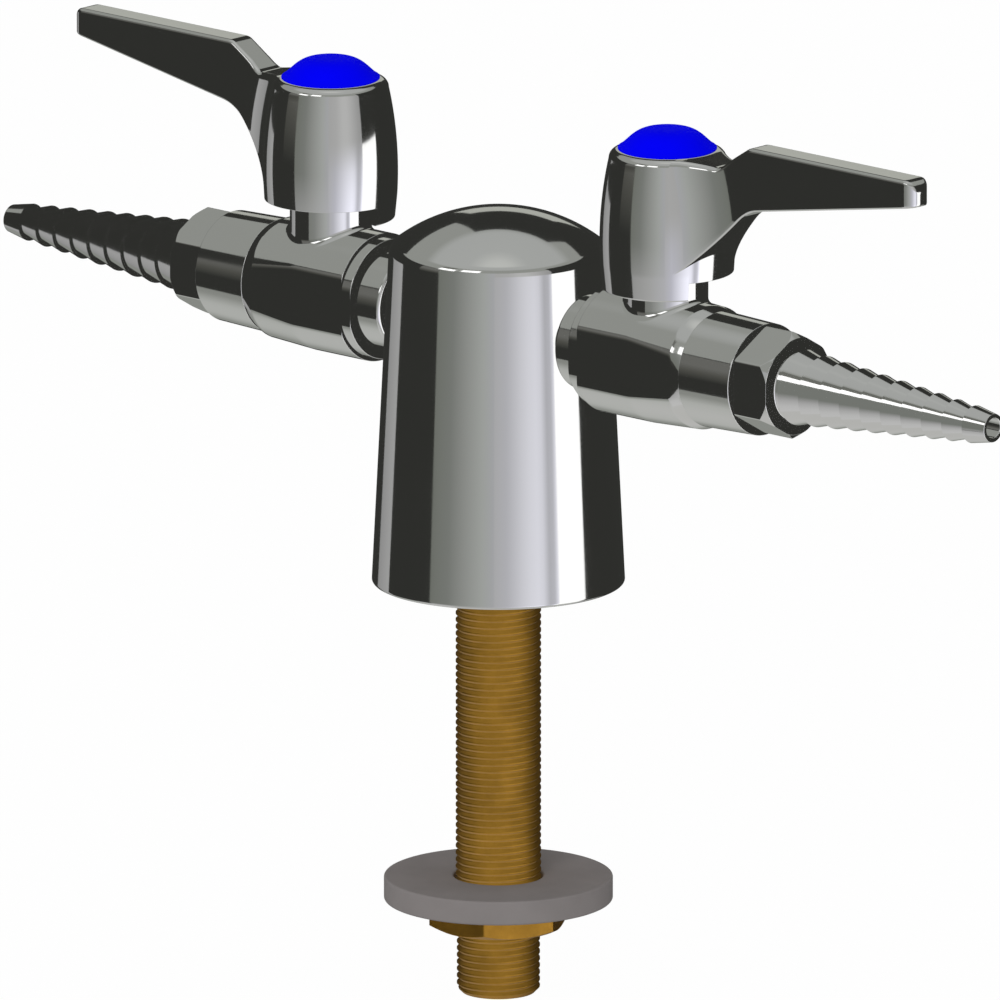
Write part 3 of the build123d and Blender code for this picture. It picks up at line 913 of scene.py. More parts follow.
@dataclass(frozen=True)
class DeckFixing:
    """The plastic washer and the locknut below the deck."""

    places: Places
    washer_radius: float = 22.95
    washer_thickness: float = 4.9
    washer_hole: float = 8.92
    washer_round: float = 0.45
    nut_across_flats: float = 25.4
    nut_thickness: float = 5.6
    nut_corner: float = math.radians(1.3)
    nut_bore: float = 8.62
    nut_chamfer: float = 1.3
    nut_face_relief: float = 0.3
    nut_edge: float = 0.12
    nut_lead: float = 0.6
    nut_seam: float = 1.0
    nut_columns: int = 28
    washer_columns: int = 192

    def build_washer(self) -> None:
        """Builds the washer."""
        top = self.places.washer_top
        bottom = top - self.washer_thickness
        middle = (top + bottom) / 2
        line = rounded_line(
            [
                (self.washer_hole, middle, 0),
                (self.washer_hole, top, self.washer_round),
                (self.washer_radius, top, self.washer_round),
                (self.washer_radius, bottom, self.washer_round),
                (self.washer_hole, bottom, self.washer_round),
                (self.washer_hole, middle, 0),
            ]
        )
        shell = Shell(self.places)
        shell.turn(line, Spindle.DECK, even_turn(self.washer_columns))
        shell.build("washer_ring", WASHER_GREY, Body.WASHER.value, "deck_washer")

    def nut_profile(self, angle: float) -> np.ndarray:
        """The nut's section at an angle.

        Args:
            angle: Direction in radians.

        Returns:
            Points (radius, height).
        """
        apothem = self.nut_across_flats / 2
        reach = hexagon_radius(angle, apothem, self.nut_corner)
        inner = apothem - self.nut_face_relief
        corner = apothem / math.cos(HEXAGON_SIDE / 2) + self.nut_face_relief
        top = self.places.nut_top
        bottom = top - self.nut_thickness
        seam = top - self.nut_seam
        slope = self.nut_chamfer / (corner - inner)
        return rounded_line(
            [
                (self.nut_bore, seam, 0),
                (self.nut_bore, top, self.nut_edge),
                (reach, top, self.nut_edge),
                (reach, bottom + (reach - inner) * slope, self.nut_edge),
                (inner, bottom, self.nut_edge),
                (self.nut_bore + self.nut_lead, bottom, self.nut_edge),
                (self.nut_bore, bottom + self.nut_lead, self.nut_edge),
                (self.nut_bore, seam, 0),
            ],
            steps=3,
        )

    def build_nut(self) -> None:
        """Builds the locknut."""
        shell = Shell(self.places)
        shell.turn(self.nut_profile, Spindle.DECK, hexagon_turn(self.nut_columns, self.nut_corner))
        shell.build("hexagon_locknut", BRASS, Body.NUT.value, "locknut")

    def build(self) -> None:
        """Builds both pieces."""
        self.build_washer()
        self.build_nut()


@dataclass(frozen=True)
class ValveBody:
    """The chromed body: stepped inlet end, side flats, stem neck and a slight taper to the seam."""

    places: Places
    side: Side
    radius: float = 13.05
    shoulder_distance: float = 32.0
    ring_radius: float = 12.2
    ring_distance: float = 29.7
    collar_radius: float = 9.6
    collar_distance: float = 23.95
    collar_round: float = 0.6
    nipple_radius: float = 6.6
    root_distance: float = 22.6
    root_round: float = 0.5
    root_lip: float = 0.2
    root_reach: float = 23.7
    root_ease: float = 0.7
    step_round: float = 0.12
    barrel_lead: float = 1.0
    barrel_points: int = 16
    taper_points: int = 14
    taper_distance: float = 57.5
    taper_radius: float = 12.45
    seam_distance: float = 59.5
    seam_radius: float = 11.6
    mouth_radius: float = 9.6
    flat_offset: float = 11.6
    flat_softness: float = 0.12
    neck_radius: float = 8.2
    neck_top: float = 24.0
    neck_round: float = 1.0
    neck_rim_round: float = 0.15
    neck_depth: float = 2.0
    root_points: int = 9
    sunk: float = 0.01
    stop_round: float = 0.1
    stop_height: float = 1.6
    stop_inner: float = 6.4
    stem_hole: float = 4.05
    window_start: float = math.radians(71.5)
    window_end: float = math.radians(198.5)
    columns: int = 320
    neck_columns: int = 128

    def outline(self) -> np.ndarray:
        """The body's outline beside the arm line.

        Returns:
            Points (distance along the arm, radius) from the turret to the seam.
        """
        barrel_start = self.shoulder_distance + self.barrel_lead
        inlet = rounded_line(
            [
                (self.root_distance, self.nipple_radius + self.root_round + self.root_lip, 0),
                (self.root_distance, self.nipple_radius, self.root_round),
                (self.collar_distance, self.nipple_radius, 0),
                (self.collar_distance, self.collar_radius, self.collar_round),
                (self.ring_distance, self.collar_radius, 0),
                (self.ring_distance, self.ring_radius, self.step_round),
                (self.shoulder_distance, self.ring_radius, 0),
                (self.shoulder_distance, self.radius, self.step_round),
                (barrel_start, self.radius, 0),
            ],
            steps=7,
        )
        barrel = [
            (distance, self.radius)
            for distance in np.linspace(barrel_start, self.places.stem_distance, self.barrel_points)
        ]
        taper = [
            (distance, self.radius_at(distance))
            for distance in np.linspace(*self.taper_span(), self.taper_points)
        ]
        seam = rounded_line(
            [
                (self.taper_distance, self.taper_radius, 0),
                (self.seam_distance, self.seam_radius, self.step_round),
                (self.seam_distance, self.mouth_radius, 0),
            ]
        )
        return np.array(inlet.tolist() + barrel[1:] + taper[1:] + seam[1:].tolist())

    def taper_span(self) -> tuple[float, float]:
        """Where the taper starts and ends along the arm."""
        return self.places.stem_distance, self.taper_distance

    def radius_at(self, distance: float) -> float:
        """Radius of the barrel and its taper at a distance along the arm."""
        return float(np.interp(distance, self.taper_span(), (self.radius, self.taper_radius)))

    def flattened(self, across: np.ndarray) -> np.ndarray:
        """Presses the sideways coordinate in to the side flats, with a soft edge.

        Args:
            across: Sideways coordinates.

        Returns:
            The coordinates, none beyond the flats.
        """
        excess = (np.abs(across) - self.flat_offset) / self.flat_softness
        eased = self.flat_offset - self.flat_softness * np.logaddexp(0.0, -excess)
        return np.sign(across) * eased

    def seated(self, along: np.ndarray, across: np.ndarray, up: np.ndarray) -> np.ndarray:
        """Bends the nipple's root so that it follows the turret's round, sloping side.

        Args:
            along: Distances along the arm.
            across: Sideways coordinates.
            up: Heights above the arm line.

        Returns:
            The distances, moved near the turret.
        """
        share = np.clip((self.root_reach - along) / (self.root_reach - self.root_distance), 0.0, 1.0)
        level_radius = self.places.turret_radius(self.places.arm_height + up)
        surface = np.sqrt(level_radius**2 - across**2)
        return along + share**self.root_ease * (surface - self.places.turret_radius(self.places.arm_height))

    def top_height(self, distance: float, across: float) -> float:
        """Height of the body's round top above the arm line."""
        return math.sqrt(self.radius_at(distance) ** 2 - across**2)

    def neck_profile(self, angle: float) -> np.ndarray:
        """The neck's section at an angle round the stem.

        Args:
            angle: Direction in radians.

        Returns:
            Points (radius, height above the arm line), from the stem hole out and down.
        """
        in_window = self.window_start < angle % (2 * math.pi) < self.window_end
        rim = self.neck_top if in_window else self.neck_top + self.stop_height
        upper = rounded_line(
            [
                (self.stem_hole, self.neck_top, 0),
                (self.stop_inner, self.neck_top, self.stop_round),
                (self.stop_inner, rim, self.stop_round),
                (self.neck_radius, rim, self.neck_rim_round),
                (self.neck_radius, self.neck_top - self.neck_depth, 0),
            ],
            steps=3,
        )
        root = []
        for swing in np.linspace(math.pi / 2, 0, self.root_points):
            radius = self.neck_radius + self.neck_round * (1 - math.sin(swing))
            lift = self.neck_round * (1 - math.cos(swing))
            distance = self.places.stem_distance + radius * math.cos(angle)
            surface = self.top_height(distance, radius * math.sin(angle))
            root.append((radius, surface + lift - self.sunk))
        return np.concatenate((upper, np.array(root)))

    def build(self) -> None:
        """Builds the body and its neck."""
        outline = self.outline()
        rows = []
        for angle in even_turn(self.columns):
            across = self.flattened(outline[:, 1] * math.cos(angle))
            up = outline[:, 1] * math.sin(angle)
            rows.append(np.column_stack((self.seated(outline[:, 0], across, up), across, up)))
        shell = Shell(self.places, self.side)
        shell.add_grid(np.array(rows), Spindle.ARM, wrap=True)
        angles = stepped_turn(self.neck_columns, self.window_start, self.window_end)
        shell.turn(self.neck_profile, Spindle.STEM, angles)
        name = self.side.word
        shell.build(f"{name}_body_casting", CHROME, Body.TURRET.value, f"{name}_valve_body")


@dataclass(frozen=True)
class Outlet:
    """The round end cap and the hose nozzle with its hexagon and serrations."""

    places: Places
    side: Side
    cap_nose: float = 54.5
    cap_thread: float = 9.55
    seam_distance: float = 59.5
    shoulder_radius: float = 11.7
    outlet_radius: float = 11.3
    outlet_distance: float = 72.5
    port_radius: float = 4.6
    port_round: float = 0.2
    nose_round: float = 0.4
    cap_columns: int = 192
    cap_round: float = 0.12
    seam_round: float = 0.06
    socket_radius: float = 6.7
    socket_end: float = 61.5
    nose_end: float = 62.5
    nose_gap: float = 0.05
    nose_edge: float = 0.3
    across_flats: float = 19.05
    hexagon_end: float = 81.1
    inner_chamfer: float = 0.3
    outer_cone: float = 1.6
    cone_radius: float = 9.8
    collar_radius: float = 6.9
    edge: float = 0.14
    edge_gap: float = 0.02
    turning_round: float = 0.2
    side_columns: int = 26
    barb_count: int = 10
    barb_start: float = 82.5
    barb_pitch: float = 5.1
    barb_depth: float = 1.0
    barb_base_radius: float = 7.6
    barb_last_radius: float = 3.8
    shoulder_run: float = 0.02
    tip_radius: float = 2.85
    tip_bore: float = 2.0
    tip_round: float = 0.08
    tip_bore_round: float = 0.15
    base_bore: float = 4.0
    bore_lead: float = 2.0

    def build_cap(self) -> None:
        """Builds the end cap."""
        line = rounded_line(
            [
                (self.port_radius, self.socket_end, 0),
                (self.port_radius, self.cap_nose, self.port_round),
                (self.cap_thread, self.cap_nose, self.nose_round),
                (self.cap_thread, self.seam_distance, 0),
                (self.shoulder_radius, self.seam_distance, self.seam_round),
                (self.outlet_radius, self.outlet_distance, self.cap_round),
                (self.socket_radius, self.outlet_distance, self.port_round),
                (self.socket_radius, self.socket_end, 0),
                (self.port_radius, self.socket_end, 0),
            ]
        )
        shell = Shell(self.places, self.side)
        shell.turn(line, Spindle.ARM, even_turn(self.cap_columns))
        name = self.side.word
        shell.build(f"{name}_cap_turning", CHROME, Body.TURRET.value, f"{name}_end_cap")

    def serrations(self) -> list[Corner]:
        """The serrated outline of the stem, from the collar to the tip.

        Returns:
            Corners (radius, distance along the arm, rounding).
        """
        step = (self.barb_base_radius - self.barb_last_radius) / (self.barb_count - 1)
        corners: list[Corner] = []
        for barb in range(self.barb_count):
            foot = self.barb_start + barb * self.barb_pitch
            peak = self.barb_base_radius - barb * step
            corners.append((peak - self.barb_depth, foot, 0))
            corners.append((peak, foot + self.shoulder_run, 0))
        return corners

    def nozzle_profile(self, angle: float) -> np.ndarray:
        """The nozzle's section at an angle round the arm line.

        Args:
            angle: Direction in radians.

        Returns:
            Points (radius, distance along the arm).
        """
        apothem = self.across_flats / 2
        corner = apothem / math.cos(HEXAGON_SIDE / 2)
        reach = hexagon_radius(angle, apothem, math.pi / 2)
        inner = corner - self.inner_chamfer
        inner_lift = max(reach - inner, 0.0) / 2
        outer_drop = max(reach - self.cone_radius, 0.0) * self.outer_cone / (corner - self.cone_radius)
        low_face = reach - self.edge_gap
        nose = self.socket_radius - self.nose_gap
        bore_start = self.nose_end + self.bore_lead
        tip = self.barb_start + self.barb_count * self.barb_pitch
        return rounded_line(
            [
                (self.base_bore, bore_start, 0),
                (self.base_bore, self.nose_end, self.turning_round),
                (nose, self.nose_end, self.nose_edge),
                (nose, self.outlet_distance, 0),
                (min(low_face, inner), self.outlet_distance, self.edge),
                (reach, self.outlet_distance + inner_lift + self.edge_gap, self.edge),
                (reach, self.hexagon_end - outer_drop - self.edge_gap, self.edge),
                (min(low_face, self.cone_radius), self.hexagon_end, self.edge),
                (self.collar_radius, self.hexagon_end, self.turning_round),
                *self.serrations(),
                (self.tip_radius, tip, self.tip_round),
                (self.tip_bore, tip, self.tip_bore_round),
                (self.base_bore, bore_start, 0),
            ],
            steps=3,
        )

    def build_nozzle(self) -> None:
        """Builds the hose nozzle."""
        shell = Shell(self.places, self.side)
        shell.turn(self.nozzle_profile, Spindle.ARM, hexagon_turn(self.side_columns, math.pi / 2))
        name = self.side.word
        shell.build(f"{name}_nozzle_turning", CHROME, Body.TURRET.value, f"{name}_hose_nozzle")

    def build(self) -> None:
        """Builds both pieces."""
        self.build_cap()
        self.build_nozzle()


@dataclass(frozen=True)
class Handle:
    """The lever handle: barrel hub with a skirt on one side, and a flat lever that flares into it."""

    places: Places
    side: Side
    bottom: float = 18.2
    bottom_radius: float = 13.3
    bottom_round: float = 0.08
    middle: float = 29.0
    middle_radius: float = 13.35
    top: float = 42.9
    top_radius: float = 11.7
    rim_round: float = 1.85
    barrel_lead: float = 1.0
    barrel_points: int = 24
    rim_points: int = 12
    junction_dip: float = 0.9
    junction_round: float = 1.6
    cavity_radius: float = 10.6
    cavity_top: float = 27.0
    cavity_round: float = 0.6
    cavity_lip: float = 0.25
    recess_floor: float = 35.0
    recess_radius: float = 8.7
    recess_drop: float = 0.01
    recess_lip: float = 0.15
    recess_round: float = 0.1
    stem_hole: float = 4.05
    skirt_bottom: float = 14.5
    skirt_radius: float = 12.9
    skirt_round: float = 0.35
    skirt_start: float = math.radians(178.0)
    skirt_end: float = math.radians(331.5)
    half_thickness: float = 3.0
    flare_radius: float = 20.0
    reach: float = 68.5
    lever_top: float = 47.3
    tip_bottom: float = 42.0
    ramp_start: float = 16.2
    ramp_end: float = 24.6
    ramp_round: float = 2.2
    tip_top_round: float = 3.0
    tip_bottom_round: float = 0.6
    arch_start: float = 8.2
    arch_corner: float = 23.9
    arch_corner_height: float = 34.17
    arch_round: float = 10.0
    edge_round: float = 0.45
    crown_round: float = 0.8
    tip_end_round: float = 2.6
    edge_share: float = 0.9
    crown_share: float = 0.96
    edge_points: int = 5
    crown_points: int = 12
    wall_rows: int = 16
    outline_steps: int = 14
    settling_rounds: int = 4
    flare_points: int = 24
    root_points: int = 16
    blade_points: int = 22
    tip_points: int = 18
    root_end: float = 1.16
    blade_end: float = 1.93
    columns: int = 240

    def barrel_radius(self, height: float) -> float:
        """Radius of the barrel at a height above the arm line.

        Args:
            height: Height above the arm line.

        Returns:
            The radius on the arc through the barrel's bottom, middle and top.
        """
        centre_radius, centre_height, arc_radius = circle_through(
            (self.bottom_radius, self.bottom),
            (self.middle_radius, self.middle),
            (self.top_radius, self.top - self.rim_round),
        )
        level = min(max(height, self.bottom), self.top)
        return centre_radius + math.sqrt(arc_radius**2 - (level - centre_height) ** 2)

    def hub_profile(self, angle: float) -> np.ndarray:
        """The hub's section at an angle round the stem.

        Args:
            angle: Direction in radians, zero along the lever.

        Returns:
            Points (radius, height above the arm line) once round the section.
        """
        skirted = self.skirt_start < angle % (2 * math.pi) < self.skirt_end
        low = self.skirt_bottom if skirted else self.bottom
        low_radius = self.skirt_radius if skirted else self.bottom_radius
        low_round = self.skirt_round if skirted else self.bottom_round
        last = self.top - self.rim_round
        heights = np.linspace(self.bottom + self.barrel_lead, last, self.barrel_points)
        barrel = [(self.barrel_radius(height), height, 0) for height in heights]
        edge = self.barrel_radius(last)
        rim = [
            (edge - self.rim_round * (1 - math.cos(swing)), last + self.rim_round * math.sin(swing), 0)
            for swing in np.linspace(0, math.pi / 2, self.rim_points)[1:]
        ]
        return rounded_line(
            [
                (self.stem_hole, self.recess_floor, 0),
                (self.stem_hole, self.cavity_top, 0),
                (self.cavity_radius, self.cavity_top, self.cavity_round),
                (self.cavity_radius, low, self.cavity_lip),
                (low_radius, low, low_round),
                *barrel,
                *rim,
                (self.recess_radius, self.top - self.recess_drop, self.recess_lip),
                (self.recess_radius, self.recess_floor, self.recess_round),
                (self.stem_hole, self.recess_floor, 0),
            ]
        )

    def flare_reach(self, height: float) -> float:
        """Distance from the stem at which the hollow flare runs out into the lever's face."""
        slant = self.barrel_radius(height) + self.flare_radius
        return math.sqrt(slant**2 - (self.half_thickness + self.flare_radius) ** 2)

    def wall_point(self, station: float, height: float) -> tuple[float, float]:
        """A point on the lever's side wall in plan.

        Args:
            station: From 0 at the hub to 1 where the flare ends, and on to 2 at the tip.
            height: Height above the arm line.

        Returns:
            Distance from the stem along the lever, and half the lever's thickness there.
        """
        run_out = self.flare_reach(height)
        if station <= 1:
            centre_across = self.half_thickness + self.flare_radius
            swing = math.atan2(run_out, centre_across) * (1 - station)
            return (
                run_out - self.flare_radius * math.sin(swing),
                centre_across - self.flare_radius * math.cos(swing),
            )
        distance = run_out + (self.reach - run_out) * (station - 1)
        past = distance - (self.reach - self.tip_end_round)
        if past <= 0:
            return distance, self.half_thickness
        inset = self.tip_end_round - math.sqrt(max(self.tip_end_round**2 - past**2, 0.0))
        return distance, self.half_thickness - inset

    def level(self, station: float, line: np.ndarray, guess: float) -> float:
        """Height of the lever's top or underside at a station.

        Args:
            station: Station along the lever.
            line: The top or underside outline as points (distance, height).
            guess: A height to start from.

        Returns:
            The height where the side wall meets the outline.
        """
        height = guess
        for _ in range(self.settling_rounds):
            distance = self.wall_point(station, height)[0]
            height = float(np.interp(distance, line[:, 0], line[:, 1]))
        return height

    def top_line(self) -> np.ndarray:
        """Draws the lever's top outline.

        Returns:
            Points (distance from the stem, height) out to the tip.
        """
        return rounded_line(
            [
                (self.recess_radius, self.top, 0),
                (self.ramp_start, self.top - self.junction_dip, self.junction_round),
                (self.ramp_end, self.lever_top, self.ramp_round),
                (self.reach, self.lever_top, self.tip_top_round),
                (self.reach, self.tip_bottom, 0),
            ],
            steps=self.outline_steps,
        )[:-1]

    def under_line(self) -> np.ndarray:
        """Draws the lever's underside outline.

        Returns:
            Points (distance from the stem, height) out to the tip.
        """
        return rounded_line(
            [
                (self.arch_start, self.bottom, 0),
                (self.arch_corner, self.arch_corner_height, self.arch_round),
                (self.reach, self.tip_bottom, self.tip_bottom_round),
                (self.reach, self.lever_top, 0),
            ],
            steps=self.outline_steps,
        )[:-1]

    def stations(self) -> np.ndarray:
        """Sets out the lever's sections, crowded where its outline turns.

        Returns:
            Stations from the hub to the tip.
        """
        flare = np.linspace(0, 1, self.flare_points)
        root = np.linspace(1, self.root_end, self.root_points)[1:]
        blade = np.linspace(self.root_end, self.blade_end, self.blade_points)[1:]
        slowing = np.sin(np.linspace(0, math.pi / 2, self.tip_points))[1:]
        tip = self.blade_end + (2 - self.blade_end) * slowing
        return np.concatenate((flare, root, blade, tip))

    def ring(self, station: float, top_line: np.ndarray, under_line: np.ndarray) -> np.ndarray:
        """One section of the lever, once round.

        Args:
            station: Station along the lever.
            top_line: The top outline.
            under_line: The underside outline.

        Returns:
            Points (along, across, height), starting in the middle of the underside.
        """
        high = self.level(station, top_line, self.top)
        low = self.level(station, under_line, self.bottom)
        near_hub = max(0.0, 1 - station)
        edge = self.edge_round
        crown = self.crown_round + (self.rim_round - self.crown_round) * near_hub
        distance, width = self.wall_point(station, low + edge)
        edge = min(edge, self.edge_share * width)
        half = [(distance, share * (width - edge), low) for share in (0.0, 0.5)]
        for swing in np.linspace(-math.pi / 2, 0, self.edge_points):
            across = width - edge + edge * math.cos(swing)
            half.append((distance, across, low + edge + edge * math.sin(swing)))
        for height in np.linspace(low + edge, high - crown, self.wall_rows)[1:-1]:
            half.append((*self.wall_point(station, float(height)), float(height)))
        distance, width = self.wall_point(station, high - crown)
        reach = min(crown, self.crown_share * width)
        for swing in np.linspace(0, math.pi / 2, self.crown_points):
            across = width - reach + reach * math.cos(swing)
            half.append((distance, across, high - crown + crown * math.sin(swing)))
        half.extend((distance, share * (width - reach), high) for share in (0.5, 0.0))
        near = np.array(half)
        far = near[-2:0:-1] * np.array((1.0, -1.0, 1.0))
        return np.concatenate((near, far, near[:1]))

    def build(self) -> None:
        """Builds the hub and the lever."""
        angles = stepped_turn(self.columns, self.skirt_start, self.skirt_end)
        shell = Shell(self.places, self.side)
        shell.turn(self.hub_profile, Spindle.STEM, angles)
        top_line, under_line = self.top_line(), self.under_line()
        rings = np.array([self.ring(station, top_line, under_line) for station in self.stations()])
        shell.add_grid(rings, Spindle.STEM)
        shell.add_face(rings[-1][:-1], Spindle.STEM)
        name = self.side.word
        shell.build(f"{name}_lever_handle", HANDLE_CHROME, f"{name}_handle", f"{name}_handle")


@dataclass(frozen=True)
class IndexButton:
    """The coloured button: a low dome that covers the hub's recess."""

    places: Places
    side: Side
    seat: float = 42.95
    radius: float = 9.9
    rim: float = 0.35
    plug_radius: float = 8.6
    plug_depth: float = 4.3
    plug_wall: float = 1.2
    plug_round: float = 0.2
    plug_inner_round: float = 0.1
    under_round: float = 0.12
    rim_round: float = 0.15
    lead: tuple[float, float] = (0.6, 0.2)
    crown_gap: float = 0.4
    crown_points: int = 48
    columns: int = 160
    fit_degree: int = 8
    dome: tuple[tuple[float, float], ...] = (
        (9.9, 0.0),
        (9.3, 0.4),
        (8.5, 1.0),
        (7.8, 1.7),
        (6.5, 2.75),
        (5.2, 3.42),
        (4.0, 3.68),
        (2.5, 3.8),
        (0.0, 3.84),
    )

    def build(self) -> None:
        """Builds the button."""
        radii, rises = np.array(self.dome).T
        fit = np.polyfit(np.concatenate((radii, -radii)), np.concatenate((rises, rises)), self.fit_degree)
        rim_top = self.seat + self.rim
        plug_inner = self.plug_radius - self.plug_wall
        plug_end = self.seat - self.plug_depth
        crown = [
            (radius, rim_top + max(float(np.polyval(fit, radius)), 0.0))
            for radius in self.radius * np.cos(np.linspace(0, math.pi / 2, self.crown_points))[1:]
        ]
        under = rounded_line(
            [
                (0.0, self.seat, 0),
                (plug_inner, self.seat, 0),
                (plug_inner, plug_end, self.plug_inner_round),
                (self.plug_radius, plug_end, self.plug_round),
                (self.plug_radius, self.seat, 0),
                (self.radius, self.seat, self.under_round),
                (self.radius, rim_top, self.rim_round),
                (self.radius - self.lead[0], rim_top + self.lead[1], 0),
            ]
        )[:-1]
        shell = Shell(self.places, self.side)
        inner = [point for point in crown if point[0] < self.radius - self.crown_gap]
        shell.turn(np.concatenate((under, np.array(inner))), Spindle.STEM, even_turn(self.columns))
        name = self.side.word
        shell.build(f"{name}_index_cover", BUTTON_BLUE, f"{name}_handle", f"{name}_index_button")


@dataclass(frozen=True)
class InnerWorks:
    """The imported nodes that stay: ball, seats, stem, seals and screw, each given its finish."""

    finishes: tuple[tuple[str, Finish], ...] = (
        ("cap_seal", SEAT_WHITE),
        ("nozzle_gasket", FIBRE),
        ("ball", CHROME),
        ("inlet_seat", SEAT_WHITE),
        ("outlet_seat", SEAT_WHITE),
        ("stem_o_rings", RUBBER),
        ("stem", STEEL),
        ("thrust_washer", SEAT_WHITE),
        ("stop_washer", STEEL),
        ("handle_screw", STEEL),
    )

    def dress(self, nodes: dict[str, bpy.types.Object]) -> None:
        """Gives each inner node its material.

        Args:
            nodes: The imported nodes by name.
        """
        for side in Side:
            for part, finish in self.finishes:
                node = nodes[f"{side.word}_{part}"]
                node.visible_glossy = False
                for slot in node.material_slots:
                    slot.material = finish.material()
                LOG.info("%s: finished as %s", node.name, finish.label)


@dataclass(frozen=True)
class ReflectedCard:
    """One glowing card standing in for a flag, paper or soft box of the studio, seen only in polished metal,
    where its colour paints the reflection.

    Azimuths and elevations are in degrees. Azimuth zero is towards the camera and grows to its right.
    The stops are colours at azimuths, or at elevations where the card shades upward.
    """

    name: str
    azimuths: tuple[float, float]
    elevations: tuple[float, float]
    stops: Stops
    upward: bool = False
    distance: float = 6.0
    upper_stops: Stops = ()
    fade: Stops = ()
    column_step: float = 1.0
    rows: int = 24

    def place_on_card(self, recipe: Recipe, camera_azimuth: float, upward: bool) -> bpy.types.NodeSocket:
        """Works out how far along the card a point lies.

        Args:
            recipe: The card's node tree.
            camera_azimuth: The camera's azimuth in degrees.
            upward: Whether it is measured up the card and not across it.

        Returns:
            The socket that runs from 0 to 1 across the card, or up it.
        """
        if upward:
            place = recipe.node("ShaderNodeSeparateXYZ", {0: recipe.place}).outputs
            height = recipe.calculate("DIVIDE", {0: place["Z"], 1: self.distance})
            angle = recipe.calculate("ARCSINE", {0: height})
            first, last = (math.radians(tilt) for tilt in self.elevations)
        else:
            turn = -math.radians(camera_azimuth + ZERO_AZIMUTH + sum(self.azimuths) / 2)
            turned = recipe.node("ShaderNodeVectorRotate", {"Vector": recipe.place, "Angle": turn})
            place = recipe.node("ShaderNodeSeparateXYZ", {0: turned.outputs[0]}).outputs
            angle = recipe.calculate("ARCTAN2", {0: place["Y"], 1: place["X"]})
            last = math.radians(self.azimuths[1] - self.azimuths[0]) / 2
            first = -last
        sockets = {"Value": angle, "From Min": first, "From Max": last}
        return recipe.node("ShaderNodeMapRange", sockets).outputs["Result"]

    def ramp(self, recipe: Recipe, camera_azimuth: float, stops: Stops, upward: bool) -> bpy.types.NodeSocket:
        """Shades from stop to stop across the card, or up it.

        Args:
            recipe: The card's node tree.
            camera_azimuth: The camera's azimuth in degrees.
            stops: Colours at azimuths, or at elevations.
            upward: Whether the stops stand at elevations.

        Returns:
            The shade's socket.
        """
        low, high = self.elevations if upward else self.azimuths
        made = recipe.node("ShaderNodeValToRGB", {0: self.place_on_card(recipe, camera_azimuth, upward)})
        marks = made.color_ramp.elements
        for number, (angle, colour) in enumerate(stops):
            mark = marks[number] if number < len(marks) else marks.new(1.0)
            mark.position = (angle - low) / (high - low)
            mark.color = (*colour, 1.0)
        return made.outputs[0]

    def glow(self, camera_azimuth: float) -> bpy.types.Material:
        """Makes the card's glow, which paints its reflection in the metal, even or shaded from stop to stop.

        Args:
            camera_azimuth: The camera's azimuth in degrees.

        Returns:
            The material.
        """
        recipe = Recipe(bpy.data.materials.new(self.name))
        shade: object = (*self.stops[0][1], 1.0)
        if len(self.stops) > 1:
            shade = self.ramp(recipe, camera_azimuth, self.stops, self.upward)
        if self.fade:
            upper = self.ramp(recipe, camera_azimuth, self.upper_stops, self.upward)
            sockets = {0: self.ramp(recipe, camera_azimuth, self.fade, True), 6: shade, 7: upper}
            shade = recipe.node("ShaderNodeMix", sockets, data_type="RGBA").outputs[2]
        # The emission is a painted reflection: the card glows only in polished metal and lights nothing else.
        recipe.end(recipe.node("ShaderNodeEmission", {"Color": shade, "Strength": 1.0}).outputs[0])
        recipe.owner.cycles.emission_sampling = "NONE"
        return recipe.owner

    def build(self, camera_azimuth: float) -> None:
        """Hangs the card at its distance, hidden from all but glossy rays.

        Args:
            camera_azimuth: The camera's azimuth in degrees.
        """
        columns = round((self.azimuths[1] - self.azimuths[0]) / self.column_step) + 1
        points = [
            tuple(direction(camera_azimuth + turn, tilt) * self.distance)
            for turn in np.linspace(*self.azimuths, columns)
            for tilt in np.linspace(*self.elevations, self.rows)
        ]
        mesh = bpy.data.meshes.new(self.name)
        mesh.from_pydata(points, [], grid_faces(columns, self.rows))
        mesh.materials.append(self.glow(camera_azimuth))
        card = new_object(self.name, mesh)
        card.visible_camera = False
        card.visible_diffuse = False
        card.visible_shadow = False
        card.visible_transmission = False


def shades(tint: Colour, *marks: tuple[float, float]) -> Stops:
    """Stops of one tint, each from its angle in degrees and its brightness."""
    return tuple((angle, tuple(part * brightness for part in tint)) for angle, brightness in marks)


# Painted dark reflection: a near-black glow for the cards that paint the dark bands in the metal.
PAINTED_DARK_REFLECTION = shades(DARK_TINT, (0.0, 0.032))
SHADE = shades(DARK_TINT, (0.0, 0.16))
# Painted grey reflection: a thin grey band that only the metal shows.
PAINTED_GREY_REFLECTION = shades(DARK_TINT, (0.0, 0.45))
# Painted highlight: a bright glow that lights nothing and shows only in the metal.
PAINTED_HIGHLIGHT_GLOW = shades(NEUTRAL, (0.0, 1.5))
# Painted white reflection of a soft box, seen only in the metal.
PAINTED_WHITE_REFLECTION = shades(NEUTRAL, (0.0, 1.25))
# Painted reflection of a pale window at the left, lighter towards its right.
PAINTED_LEFT_REFLECTION = shades(NEUTRAL, (-143.0, 0.3), (-119.0, 0.4))
